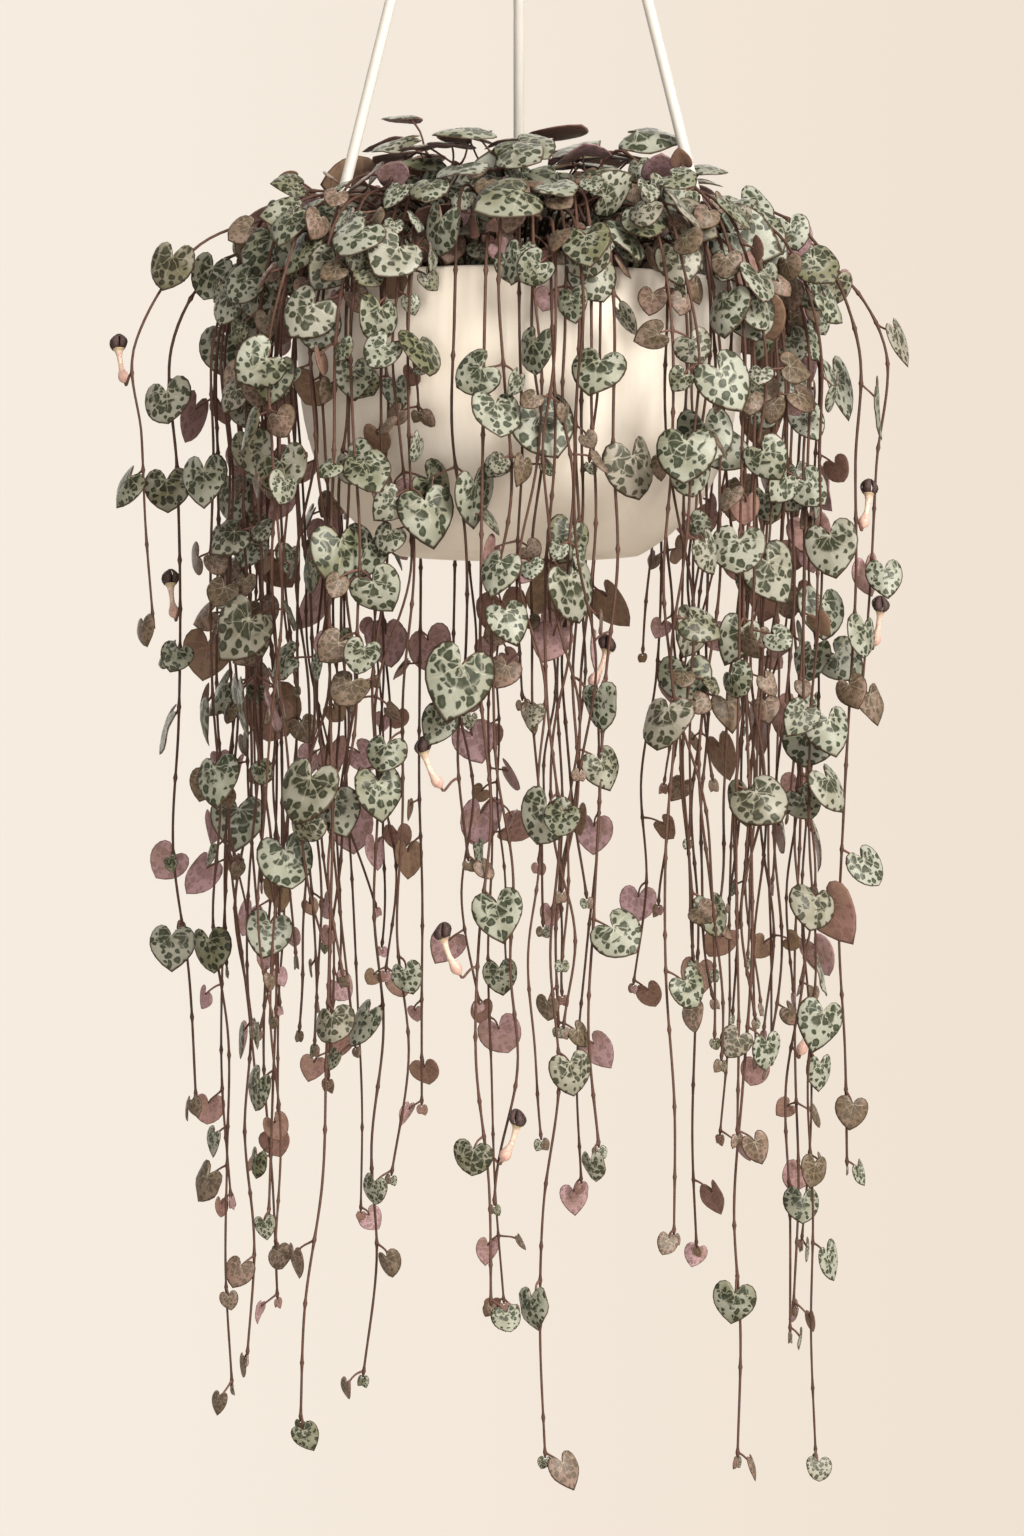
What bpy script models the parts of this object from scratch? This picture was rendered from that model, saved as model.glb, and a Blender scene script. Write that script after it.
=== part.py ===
"""A potted string of hearts in a hanging bowl pot.

Vines with pairs of heart-shaped leaves root in the soil of a plastic bowl, arch over its rim and hang
below it. Three rods clip on the rim and meet in one hub with a hook. Each vine is one node, a stem
with its leaves and flowers. Metres, +Z up. The origin is the inside of the hook's top, where it hangs.
"""
import math
import random

import bmesh
import bpy
from mathutils import Matrix, Vector
from mathutils.bvhtree import BVHTree

OBJECT_NAME = "string_of_hearts"
UP = Vector((0, 0, 1))
GAP = 0.0003

# Bowl: measured from the rim's top down
RIM_Z = -0.330
RIM_RADIUS = 0.080
POT_HEIGHT = 0.097
BOWL_CLOSES_AT = 0.1068
BOWL_POWER = 3.4
WALL = 0.0026
FLOOR = 0.0030
BASE_RADIUS = 0.031
BASE_RECESS = 0.0008
ROUND_STEPS = 30

# Soil
SOIL_DEPTH = 0.013
SOIL_MOUND = 0.006
ROOT_DEPTH = 0.011
STEM_HOLE_RADIUS = 0.0027

# Hanger: a hook on a hub, and three rods
HOOK_WIRE = 0.0045
HOOK_INSIDE = 0.0122
HUB_RADIUS = 0.0105
HUB_TOP = -0.049
HUB_BOTTOM = -0.066
ARM_AZIMUTHS = (90, 210, 330)
ARM_WIRE = 0.0040
ARM_TOP_Z = -0.0575
ARM_TOP_RADIUS = 0.0050
CLIP_WIDTH = 0.0085
CLIP_HEIGHT = 0.0110
CLIP_CROWN = 0.0035
CLIP_SIDE = 0.0018
CLIP_INNER_GAP = 0.0008
FLARE_LENGTH = 0.016
FLARE_FOOT = 1.8
FLARE_MIDDLE = 1.45

# Plant
STEM_RADIUS = 0.0010
STEM_TIP_RADIUS = 0.00085
LEAF_THICKNESS = 0.0007
LEAF_CLEARANCE = 0.0005
LARGE_LEAF = 0.0215
TIP_LEAF = 0.0105
PETIOLE_WIDTH = 0.0010
NODE_LENGTH = 0.0012
NODE_SPACING = (0.025, 0.031)
FIRST_NODE = 0.020
SWAY = 0.0035
ROUTE_SPACING = 0.002
HANG_START = 0.022
HANG_SPACING = 0.045
HANG_TUCK = 0.006
STEM_BEND = 24
LEAF_EVERY = 3
TRIES = 16
LEAF_SIZES = (0.72, 1.06)
YOUNG_FROM = 0.55
YOUNG_POWER = 1.3
LEAF_TO_WINDOW = 1.3
BACK_ROWS = 0.2
LEAF_TURN = 38
LEAF_SPLAY = 16
LEAF_PITCH = (-22, 28)
LEAF_JITTER = 0.3
PETIOLE_LENGTH = (0.0045, 0.0075)
PETIOLE_SPREAD = (0.35, 0.75)

# How far the plant keeps from the bowl, the rods and the clips
BOWL_MARGIN = 0.0008
SOIL_MARGIN = 0.0006
ROD_KEEP_OUT = 0.0027
FLARE_KEEP_OUT = 0.0046
CLIP_KEEP_OUT = 0.0068

# Right half of a leaf's outline: across, and from the sinus towards the tip, for a leaf 1 wide
HALF_HEART = ((0.25, -0.22), (0.50, 0.04), (0.36, 0.44))
HEART_DROOP = (-0.03, 0.03, 0.06)
HEART_TIP = 0.82
HEART_TIP_DROOP = 0.08

# Vines: azimuth in degrees from +X, then root radius, crest above the rim, reach from the axis, drop
# below the rim and the tip's drift towards a higher azimuth, in millimetres. They hang in three
# bunches in front, with the same behind.
VINES = (
    (114, 44, 14, 92, 300, 4),
    (122, 30, 30, 98, 250, 0),
    (130, 50, 12, 104, 340, -6),
    (139, 26, 36, 96, 280, 3),
    (148, 46, 18, 110, 370, 5),
    (157, 34, 27, 101, 300, -4),
    (166, 52, 11, 114, 330, 3),
    (174, 28, 33, 103, 385, 8),
    (181, 46, 16, 125, 292, 0),
    (188, 34, 25, 138, 120, 0),
    (195, 54, 12, 112, 392, 0),
    (202.5, 30, 30, 100, 330, 4),
    (217.5, 48, 15, 106, 340, -12),
    (225, 28, 34, 97, 270, 6),
    (233, 50, 13, 104, 400, -24),
    (240, 34, 24, 94, 383, -12),
    (247, 52, 10, 97, 313, -9),
    (256, 30, 28, 92, 205, 5),
    (263, 50, 11, 97, 356, 0),
    (270, 36, 20, 90, 150, 2),
    (276.5, 52, 9, 98, 408, -1),
    (283, 28, 30, 91, 262, -6),
    (290, 46, 13, 95, 303, -6),
    (299, 34, 22, 107, 333, 6),
    (307, 54, 10, 96, 255, 4),
    (314.5, 30, 32, 110, 300, 4),
    (322.5, 50, 14, 102, 413, 0),
    (337.5, 34, 24, 114, 416, 12),
    (345, 52, 12, 106, 374, 3),
    (353, 28, 30, 122, 316, 4),
    (0.5, 46, 16, 132, 147, 0),
    (9, 32, 26, 110, 345, -3),
    (18, 54, 11, 98, 280, 5),
    (27, 30, 34, 117, 372, -6),
    (36, 48, 14, 104, 310, 4),
    (46, 34, 24, 96, 352, -4),
    (58, 50, 12, 101, 255, 5),
    (71, 30, 30, 94, 330, 6),
    (78, 52, 10, 91, 225, 4),
    (97.5, 34, 22, 93, 376, -5),
    (104.5, 50, 13, 97, 262, -6),
)

# Short shoots that fill the crown: azimuth, root radius, height over the rim and lean outward, in mm
SHOOTS = (
    (20, 8, 42, 22),
    (92, 16, 38, 30),
    (150, 18, 44, 34),
    (205, 14, 46, 30),
    (262, 20, 40, 34),
    (320, 16, 45, 36),
)

# Flowers: the vine's azimuth, how far below the rim in millimetres, and the side that it stands on
FLOWERS = (
    (188, 32, -1),
    (181, 116, -1),
    (353, 84, 1),
    (0.5, 128, -1),
    (283, 142, 1),
    (256, 176, -1),
    (263, 240, -1),
    (263, 296, 1),
    (345, 272, 1),
)
FLOWER_LENGTH = 0.019
FLOWER_KNEE_OUT = 0.006
FLOWER_KNEE_DOWN = 0.003
FLOWER_TURNS = (20, 0, 35, -15, 50)
FLOWER_LEANS = (0.35, 0.6, 0.15)

# Up a flower: share of its length, how far it bows to the side, and its radius
FLOWER_STATIONS = (
    (0.00, 0.00, 0.0007),
    (0.12, 0.03, 0.0023),
    (0.34, 0.09, 0.0011),
    (0.66, 0.09, 0.0012),
    (0.80, 0.06, 0.0023),
    (1.00, 0.00, 0.0007),
)


def clear_scene():
    for old in list(bpy.data.objects):
        bpy.data.objects.remove(old, do_unlink=True)


def make_collection(name):
    collection = bpy.data.collections.new(name)
    bpy.context.scene.collection.children.link(collection)
    return collection


def make_material(name, colour, roughness):
    material = bpy.data.materials.new(name)
    material.use_nodes = True
    shader = material.node_tree.nodes["Principled BSDF"]
    shader.inputs["Base Color"].default_value = (*colour, 1)
    shader.inputs["Roughness"].default_value = roughness
    shader.inputs["Metallic"].default_value = 0
    return material


def add_object(name, data, collection, material=None):
    added = bpy.data.objects.new(name, data)
    collection.objects.link(added)
    if material:
        data.materials.clear()
        data.materials.append(material)
    return added


def hide_cutter(cutter):
    cutter.hide_render = True
    cutter.display_type = "WIRE"


def solid_mesh(source, name):
    """The evaluated object as one mesh in world space."""
    graph = bpy.context.evaluated_depsgraph_get()
    mesh = bpy.data.meshes.new_from_object(source.evaluated_get(graph))
    mesh.transform(source.matrix_world)
    mesh.name = name
    return mesh


def weld(mesh):
    """Joins a tube's caps to its sides."""
    work = bmesh.new()
    work.from_mesh(mesh)
    bmesh.ops.remove_doubles(work, verts=work.verts, dist=0.000001)
    bmesh.ops.recalc_face_normals(work, faces=work.faces)
    work.to_mesh(mesh)
    work.free()


def mesh_from(work, name):
    """The closed shape as a mesh, with its faces pointing out."""
    bmesh.ops.recalc_face_normals(work, faces=work.faces)
    if work.calc_volume(signed=True) < 0:
        bmesh.ops.reverse_faces(work, faces=work.faces)
    mesh = bpy.data.meshes.new(name)
    work.to_mesh(mesh)
    work.free()
    return mesh


def take_mesh(source, name):
    """Turns a scratch object into its mesh, and removes the object."""
    bpy.context.view_layer.update()
    mesh = solid_mesh(source, name)
    bpy.data.objects.remove(source, do_unlink=True)
    return mesh


def polar(azimuth, radius, height):
    angle = math.radians(azimuth)
    return Vector((radius * math.cos(angle), radius * math.sin(angle), height))


def bowl_radius(depth, inset):
    """The bowl's radius at a depth below its rim, drawn in by inset all round."""
    share = depth / (BOWL_CLOSES_AT - inset)
    return (RIM_RADIUS - inset) * math.sqrt(1 - share**BOWL_POWER)


def bowl_depths(first, last):
    """Depths along the bowl's side, closer together where it rounds in to the base."""
    count = 6
    return [first + (last - first) * math.sin(0.5 * math.pi * i / count) for i in range(count + 1)]


def turned(name, profile, collection, material=None):
    """A solid turned from a profile in the XZ plane, which runs down its outer side.

    Half a step's turn puts a corner of its facets under each of the hanger's clips.
    """
    mesh = bpy.data.meshes.new(name)
    points = [(radius, 0, height) for radius, height in profile]
    mesh.from_pydata(points, [(i, i + 1) for i in range(len(points) - 1)], [])
    body = add_object(name, mesh, collection, material)
    screw = body.modifiers.new("Turn", "SCREW")
    screw.steps = ROUND_STEPS
    screw.render_steps = ROUND_STEPS
    screw.use_merge_vertices = True
    screw.merge_threshold = 0.00001
    body.rotation_euler.z = math.pi / ROUND_STEPS
    return body


def wire(name, points, radii, resolution, collection):
    """A tube along the points, with a radius at each and closed ends."""
    curve = bpy.data.curves.new(name, "CURVE")
    curve.dimensions = "3D"
    curve.bevel_depth = 1
    curve.bevel_resolution = resolution
    curve.use_fill_caps = True
    spline = curve.splines.new("POLY")
    spline.points.add(len(points) - 1)
    for target, point, radius in zip(spline.points, points, radii):
        target.co = (*point, 1)
        target.radius = radius
    mesh = take_mesh(add_object(name, curve, collection), name)
    weld(mesh)
    return mesh


def fuse(name, first, second, collection, material):
    """One solid from two meshes that overlap each other."""
    body = add_object(name, first, collection, material)
    other = add_object(f"{name}_piece", second, collection)
    union = body.modifiers.new("Union", "BOOLEAN")
    union.operation = "UNION"
    union.object = other
    bpy.context.view_layer.update()
    fused = solid_mesh(body, name)
    body.modifiers.remove(union)
    body.data = fused
    fused.materials.clear()
    fused.materials.append(material)
    bpy.data.objects.remove(other, do_unlink=True)
    return body


def cut(body, cutters):
    """Cuts every shape of the cutters' collection from the body."""
    difference = body.modifiers.new("Cut", "BOOLEAN")
    difference.operation = "DIFFERENCE"
    difference.operand_type = "COLLECTION"
    difference.collection = cutters


def make_pot(collection, material):
    inner_floor = POT_HEIGHT - FLOOR
    inside = [(bowl_radius(d, WALL), RIM_Z - d) for d in bowl_depths(0.003, inner_floor)]
    outside = [(bowl_radius(d, 0), RIM_Z - d) for d in bowl_depths(0.003, POT_HEIGHT - 0.0006)]
    lip = [
        (RIM_RADIUS - 0.8 * WALL, RIM_Z - 0.0005),
        (RIM_RADIUS - 0.5 * WALL, RIM_Z),
        (RIM_RADIUS - 0.2 * WALL, RIM_Z - 0.0005),
    ]
    base_z = RIM_Z - POT_HEIGHT
    base = [
        (BASE_RADIUS + 0.006, base_z),
        (BASE_RADIUS, base_z),
        (BASE_RADIUS - 0.0006, base_z + BASE_RECESS),
        (0, base_z + BASE_RECESS),
    ]
    profile = [(0, RIM_Z - inner_floor)] + inside[::-1] + lip + outside + base
    turned("pot", profile, collection, material)


def soil_top(radius):
    """Height of the soil's surface, which is mounded a little in the middle."""
    edge = RIM_RADIUS - WALL
    return RIM_Z - SOIL_DEPTH + SOIL_MOUND * (1 - (radius / edge) ** 2)


def make_soil(collection, cutters, material):
    inset = WALL + GAP
    last = POT_HEIGHT - FLOOR - GAP
    side = [(bowl_radius(d, inset), RIM_Z - d) for d in bowl_depths(0.003, last)]
    side = [point for point in side if point[1] < RIM_Z - SOIL_DEPTH - 0.001]
    edge = bowl_radius(SOIL_DEPTH, inset)
    top = [(r * edge, soil_top(r * edge)) for r in (0, 0.3, 0.55, 0.78)]
    top.append((edge, RIM_Z - SOIL_DEPTH))
    soil = turned("soil", top + side + [(0, RIM_Z - last)], collection, material)
    for number, row in enumerate((*VINES, *SHOOTS)):
        radius = row[1] / 1000
        root = polar(row[0], radius, soil_top(radius) - ROOT_DEPTH)
        work = bmesh.new()
        depth = 2 * ROOT_DEPTH
        bmesh.ops.create_cone(
            work, cap_ends=True, segments=4, depth=depth,
            radius1=STEM_HOLE_RADIUS, radius2=STEM_HOLE_RADIUS,
        )
        hole = add_object(f"stem_hole_{number + 1:02d}", mesh_from(work, "stem_hole"), cutters)
        hole.location = (root.x, root.y, root.z + depth / 2 - GAP - 0.0006)
        hide_cutter(hole)
    cut(soil, cutters)


def hook_points():
    """Up out of the hub, out to one side, and round over the top to the open end."""
    turn_radius = HOOK_INSIDE + HOOK_WIRE / 2
    centre_z = -HOOK_INSIDE
    points = [
        Vector((0, 0, HUB_TOP - 0.006)),
        Vector((0, 0, -0.0415)),
        Vector((0.0012, 0, -0.0365)),
        Vector((0.0052, 0, -0.0315)),
    ]
    for angle in range(-42, 211, 28):
        turn = math.radians(angle)
        height = centre_z + turn_radius * math.sin(turn)
        points.append(Vector((turn_radius * math.cos(turn), 0, height)))
    return points


def arm_foot():
    """Where a rod's axis meets the top of its clip, in the XZ plane."""
    return Vector((RIM_RADIUS - WALL / 2, 0, RIM_Z + GAP + CLIP_CROWN))


def arm_direction():
    top = Vector((ARM_TOP_RADIUS, 0, ARM_TOP_Z))
    return (top - arm_foot()).normalized()


def make_hook(collection, cutters, scratch, material):
    points = hook_points()
    hook = wire("hook_wire", points, [HOOK_WIRE / 2] * len(points), 2, scratch)
    hub_profile = [
        (0, HUB_TOP + 0.002), (0.5 * HUB_RADIUS, HUB_TOP + 0.0012), (HUB_RADIUS, HUB_TOP - 0.003),
        (HUB_RADIUS, HUB_BOTTOM + 0.001), (HUB_RADIUS - 0.001, HUB_BOTTOM), (0, HUB_BOTTOM),
    ]
    hub = take_mesh(turned("hub", hub_profile, scratch), "hub")
    body = fuse("hook", hub, hook, collection, material)
    direction = arm_direction()
    hole_radius = ARM_WIRE / 2 + GAP
    top = Vector((ARM_TOP_RADIUS, 0, ARM_TOP_Z)) + GAP * direction
    for azimuth in ARM_AZIMUTHS:
        work = bmesh.new()
        length = 0.030
        bmesh.ops.create_cone(
            work, cap_ends=True, segments=10, depth=length, radius1=hole_radius, radius2=hole_radius,
        )
        socket = add_object(f"socket_{azimuth}", mesh_from(work, "socket"), cutters)
        place = Matrix.Rotation(math.radians(azimuth), 4, "Z")
        tilt = UP.rotation_difference(direction).to_matrix().to_4x4()
        centre = top - direction * length / 2
        socket.matrix_world = place @ Matrix.Translation(centre) @ tilt
        hide_cutter(socket)
    cut(body, cutters)


def box_mesh(name, low, high):
    work = bmesh.new()
    bmesh.ops.create_cube(work, size=1)
    low, high = Vector(low), Vector(high)
    middle = (low + high) / 2
    side = high - low
    bmesh.ops.transform(work, verts=work.verts, matrix=Matrix.LocRotScale(middle, None, side))
    return mesh_from(work, name)


def make_arms(collection, cutters, scratch, material):
    """A rod that flares into a clip, which straddles the rim without touching it."""
    foot = arm_foot()
    direction = arm_direction()
    top = Vector((ARM_TOP_RADIUS, 0, ARM_TOP_Z))
    radius = ARM_WIRE / 2
    points = [foot - 0.002 * direction, foot + 0.3 * FLARE_LENGTH * direction]
    points += [foot + FLARE_LENGTH * direction, top]
    radii = [FLARE_FOOT * radius, FLARE_MIDDLE * radius, radius, radius]
    rod = wire("rod", points, radii, 3, scratch)
    inner = bowl_radius(0.003, WALL) - CLIP_INNER_GAP - CLIP_SIDE
    outer = RIM_RADIUS + GAP + CLIP_SIDE
    half = CLIP_WIDTH / 2
    clip = box_mesh("clip", (inner, -half, foot.z - CLIP_HEIGHT), (outer, half, foot.z))
    shape = fuse("arm_shape", clip, rod, scratch, material)
    low = (inner + CLIP_SIDE, -half - 0.002, foot.z - CLIP_HEIGHT - 0.001)
    high = (outer - CLIP_SIDE, half + 0.002, RIM_Z + GAP)
    slot = add_object("rim_slot", box_mesh("rim_slot", low, high), cutters)
    hide_cutter(slot)
    cut(shape, cutters)
    mesh = take_mesh(shape, "arm")
    for azimuth in ARM_AZIMUTHS:
        arm = add_object(f"arm_{azimuth}", mesh, collection)
        arm.rotation_euler.z = math.radians(azimuth)
    mesh.materials.append(material)


def smooth_route(points):
    """A smooth curve through the points, as closely spaced points."""
    padded = [2 * points[0] - points[1], *points, 2 * points[-1] - points[-2]]
    dense = []
    for a, b, c, d in zip(padded, padded[1:], padded[2:], padded[3:]):
        count = max(2, round((c - b).length / ROUTE_SPACING))
        for i in range(count):
            t = i / count
            bend = (2 * a - 5 * b + 4 * c - d) * t * t + (3 * b - a - 3 * c + d) * t**3
            dense.append(0.5 * (2 * b + (c - a) * t + bend))
    dense.append(points[-1])
    return dense


def rooted(azimuth, root):
    """The first points of every stem: straight up out of the soil."""
    soil = soil_top(root)
    return [polar(azimuth, root, soil + share * ROOT_DEPTH) for share in (-1, -0.4, 0.2, 0.6)]


def vine_route(azimuth, root, crest, reach, drop, drift):
    """From the soil up over the rim, then straight down with a little sway."""
    rng = random.Random(f"route {azimuth}")
    points = rooted(azimuth, root) + [
        polar(azimuth, root + 0.40 * (RIM_RADIUS - root), RIM_Z + 0.8 * crest),
        polar(azimuth, 0.95 * RIM_RADIUS, RIM_Z + crest),
        polar(azimuth, 0.4 * RIM_RADIUS + 0.6 * reach, RIM_Z + 0.55 * crest),
        polar(azimuth, reach, RIM_Z - HANG_START),
    ]
    count = max(2, round(drop / HANG_SPACING))
    for i in range(1, count + 1):
        sway = min(i, 3) / 3
        radius = reach - HANG_TUCK * i / count + sway * rng.uniform(-SWAY, SWAY)
        shift = (sway * rng.uniform(-SWAY, SWAY) + drift * (i / count) ** 2) / reach
        height = RIM_Z - HANG_START - (drop - HANG_START) * i / count
        points.append(polar(azimuth + math.degrees(shift), radius, height))
    return smooth_route(points)


def shoot_route(azimuth, root, height, lean):
    soil = soil_top(root)
    top = RIM_Z + height
    return smooth_route(rooted(azimuth, root) + [
        polar(azimuth, root + 0.3 * lean, soil + 0.6 * (top - soil)),
        polar(azimuth, root + 0.75 * lean, top),
        polar(azimuth, root + lean + 0.006, top - 0.006),
    ])


def plant_routes():
    """Each stem's name, azimuth and route."""
    found = []
    for number, (azimuth, *sizes) in enumerate(VINES):
        route = vine_route(azimuth, *[size / 1000 for size in sizes])
        found.append((f"vine_{number + 1:02d}", azimuth, route))
    for number, (azimuth, *sizes) in enumerate(SHOOTS):
        route = shoot_route(azimuth, *[size / 1000 for size in sizes])
        found.append((f"shoot_{number + 1}", azimuth, route))
    return found


def leaf_nodes(route, azimuth):
    """Indices of the route's points where leaves grow, the last of them just short of the tip."""
    rng = random.Random(f"nodes {azimuth}")
    found = []
    travelled = 0
    wanted = FIRST_NODE + ROOT_DEPTH
    for i in range(1, len(route)):
        travelled += (route[i] - route[i - 1]).length
        if travelled >= wanted:
            found.append(i)
            wanted += rng.uniform(*NODE_SPACING)
    last = len(route) - 2
    if last - found[-1] < 6:
        found.pop()
    return found + [last]


def stem_frame(route, index, azimuth):
    """The stem's direction, its sideways axis and its outer side at one of its points."""
    low = max(index - 1, 0)
    high = min(index + 1, len(route) - 1)
    along = (route[high] - route[low]).normalized()
    sideways = UP.cross(polar(azimuth, 1, 0))
    outer = along.cross(sideways).normalized()
    return along, outer.cross(along).normalized(), outer


def stem_stations(route, nodes):
    """The route's points that carry a ring of the stem: at the soil, the nodes and the bends."""
    chosen = [0]
    emerging = int(1.2 * ROOT_DEPTH / ROUTE_SPACING)
    for i in range(1, len(route) - 1):
        last = chosen[-1]
        before = route[last + 1] - route[last]
        after = route[i + 1] - route[i]
        if i == emerging or i in nodes or before.angle(after) > math.radians(STEM_BEND):
            chosen.append(i)
    return chosen + [len(route) - 1]


def leaf_size(share, rng):
    """Leaves shrink towards the tip of a vine. share is 0 at the soil and 1 at the tip."""
    young = max(0.0, (share - YOUNG_FROM) / (1 - YOUNG_FROM))
    return (LARGE_LEAF + (TIP_LEAF - LARGE_LEAF) * young**YOUNG_POWER) * rng.uniform(*LEAF_SIZES)


def leaf_place(route, index, azimuth, side, rng, loosened):
    """One leaf that may grow here: its root, sinus, tip direction, normal and width.

    Leaves on the sides of the plant turn towards its front or its back.
    """
    point = route[index]
    tangent, sideways, outer = stem_frame(route, index, azimuth)
    outward = polar(azimuth, 1, 0)
    level = 1 - abs(tangent.z)
    size = leaf_size(index / (len(route) - 1), rng) * (1 - 0.22 * loosened)
    window = Vector((0, 1 if outward.y > BACK_ROWS else -1, 0))
    lit = (outward + LEAF_TO_WINDOW * window).normalized()
    facing = (lit * (1 - 0.25 * level) + UP * (0.12 + 0.48 * level)).normalized()
    turn = math.radians(rng.uniform(-LEAF_TURN, LEAF_TURN) + LEAF_SPLAY * side)
    pitch = math.radians(rng.uniform(*LEAF_PITCH))
    normal = Matrix.Rotation(turn, 3, UP) @ Matrix.Rotation(pitch, 3, sideways) @ facing
    fall = outward * (0.1 + 0.7 * level) + sideways * side * 0.35 - UP
    fall += Vector((rng.uniform(-1, 1), rng.uniform(-1, 1), rng.uniform(-1, 1))) * LEAF_JITTER
    along = (fall - normal * fall.dot(normal)).normalized()
    spread = rng.uniform(*PETIOLE_SPREAD)
    petiole = sideways * side * (1.1 - spread) + outer * spread + along * 0.65
    length = rng.uniform(*PETIOLE_LENGTH) + 0.006 * loosened * rng.random() + 0.08 * size
    return point, point + petiole.normalized() * length, along, normal, size


def heart_outline(place, extra):
    """Points round the middle of a blade, from the right of its sinus to the left of it."""
    _, sinus, along, normal, size = place
    across = along.cross(normal)
    grown = 1 + 2 * extra / size
    right = [(PETIOLE_WIDTH / 2 / size, 0, 0)]
    right += [(x, y, -droop) for (x, y), droop in zip(HALF_HEART, HEART_DROOP)]
    tip = (0, HEART_TIP, -HEART_TIP_DROOP)
    left = [(-x, y, height) for x, y, height in right[::-1]]
    start = sinus - extra * along
    return [
        start + grown * size * (x * across + y * along + height * normal)
        for x, y, height in (*right, tip, *left)
    ]


def add_blade(work, place, extra):
    """Both faces and the edge of a blade. Returns the four points of its open notch."""
    lift = place[3] * (LEAF_THICKNESS / 2 + extra)
    outline = heart_outline(place, extra)
    front = [work.verts.new(point + lift) for point in outline]
    back = [work.verts.new(point - lift) for point in outline]
    last = len(outline) - 1
    tip = last // 2
    fans = [(0, i, i + 1) for i in range(1, tip)] + [(0, tip, last)]
    fans += [(last, i, i + 1) for i in range(tip, last - 1)]
    for a, b, c in fans:
        work.faces.new((front[a], front[b], front[c]))
        work.faces.new((back[c], back[b], back[a]))
    for i in range(last):
        work.faces.new((front[i], back[i], back[i + 1], front[i + 1]))
    return [front[0], back[0], back[last], front[last]]


def loft(work, first, second):
    """Joins two rings of as many points, turned so that the sides twist least."""
    count = len(first)

    def stretch(shift):
        return sum((first[i].co - second[(i + shift) % count].co).length for i in range(count))

    shift = min(range(count), key=stretch)
    turned_ring = second[shift:] + second[:shift]
    for i in range(count):
        j = (i + 1) % count
        work.faces.new((first[i], first[j], turned_ring[j], turned_ring[i]))


def add_stem(work, route, azimuth, nodes, extra):
    """A three-sided stem. Returns, for each node, the four corners of its left and right faces."""
    stations = stem_stations(route, nodes)
    last = len(route) - 1
    rings = []
    for i in stations:
        along, sideways, outer = stem_frame(route, i, azimuth)
        radius = STEM_RADIUS + (STEM_TIP_RADIUS - STEM_RADIUS) * i / last + extra
        offsets = (-NODE_LENGTH / 2, NODE_LENGTH / 2) if i in nodes else (0,)
        for offset in offsets:
            middle = route[i] + along * offset
            turns = [math.radians(angle) for angle in (90, 210, 330)]
            corners = [math.cos(t) * sideways + math.sin(t) * outer for t in turns]
            rings.append((i, [work.verts.new(middle + radius * corner) for corner in corners]))
    faces = {}
    for (i, low), (j, high) in zip(rings, rings[1:]):
        for side, (a, b) in ((-1, (0, 1)), (0, (1, 2)), (1, (2, 0))):
            quad = [low[a], low[b], high[b], high[a]]
            if i == j and side:
                faces[i, side] = quad
            else:
                work.faces.new(quad)
    work.faces.new(rings[0][1][::-1])
    work.faces.new(rings[-1][1])
    return faces


def flower_rings(work, root, toward, leaning, extra):
    """Four-sided rings up a flower: stalk, swollen base, curved tube and the cage's foot and top."""
    sideways = toward.cross(UP).normalized()
    knee = root + FLOWER_KNEE_OUT * toward - FLOWER_KNEE_DOWN * UP
    axis = (UP + leaning * toward).normalized()
    rings = []
    for share, bow, radius in FLOWER_STATIONS:
        middle = knee + FLOWER_LENGTH * (share * axis + bow * toward)
        facing = axis if rings else axis + toward
        across = facing.cross(sideways).normalized()
        corners = [sideways, across, -sideways, -across]
        rings.append([work.verts.new(middle + (radius + extra) * corner) for corner in corners])
    return rings


def add_flower(work, place, extra, start=None):
    """A flower, whose stalk runs from the corners of the stem's face, or from nothing on its own."""
    root, toward, leaning = place
    rings = flower_rings(work, root, toward, leaning, extra)
    if start:
        loft(work, start, rings[0])
    else:
        work.faces.new(rings[0])
    for low, high in zip(rings, rings[1:]):
        loft(work, low, high)
    work.faces.new(rings[-1])


def triangles_of(work):
    bmesh.ops.triangulate(work, faces=work.faces)
    work.verts.index_update()
    work.faces.ensure_lookup_table()
    return BVHTree.FromBMesh(work)


def tree_of(work):
    """A search tree of the shape's triangles. The shape itself is freed."""
    tree = triangles_of(work)
    work.free()
    return tree


def leaf_shape(place, corners, extra, stalk=True):
    """A leaf on its own, with its stalk from the corners of the stem's face, or only its blade."""
    work = bmesh.new()
    notch = add_blade(work, place, extra)
    if stalk:
        loft(work, [work.verts.new(corner) for corner in corners], notch)
    return work


def crosses_itself(work):
    """Whether two triangles that share no corner cross. The shape itself is freed."""
    tree = triangles_of(work)
    corners = [{vertex.index for vertex in face.verts} for face in work.faces]
    crossed = any(not corners[i] & corners[j] for i, j in tree.overlap(tree))
    work.free()
    return crossed


def grow_leaf(route, index, azimuth, side, name, corners, own, others):
    """The first place for the leaf that is clear of its neighbours, or none."""
    rng = random.Random(f"{name} {index} {side}")
    for attempt in range(TRIES):
        place = leaf_place(route, index, azimuth, side, rng, attempt / TRIES)
        root, sinus, along, normal, _ = place
        arrival = (sinus - root).normalized()
        if arrival.dot(along) < 0.2 or arrival.dot(normal) < 0.05:
            continue
        if crosses_itself(leaf_shape(place, corners, 0)):
            continue
        blade = tree_of(leaf_shape(place, corners, LEAF_CLEARANCE, stalk=False))
        if any(blade.overlap(tree) for tree in own):
            continue
        guard = tree_of(leaf_shape(place, corners, LEAF_CLEARANCE))
        if not any(guard.overlap(tree) for tree in others):
            return place
    return None


def node_below_rim(route, drop):
    """Index of the hanging route's point that is this far below the rim."""
    hanging = range(len(route) // 4, len(route))
    return min(hanging, key=lambda i: abs(route[i].z - RIM_Z + drop))


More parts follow.
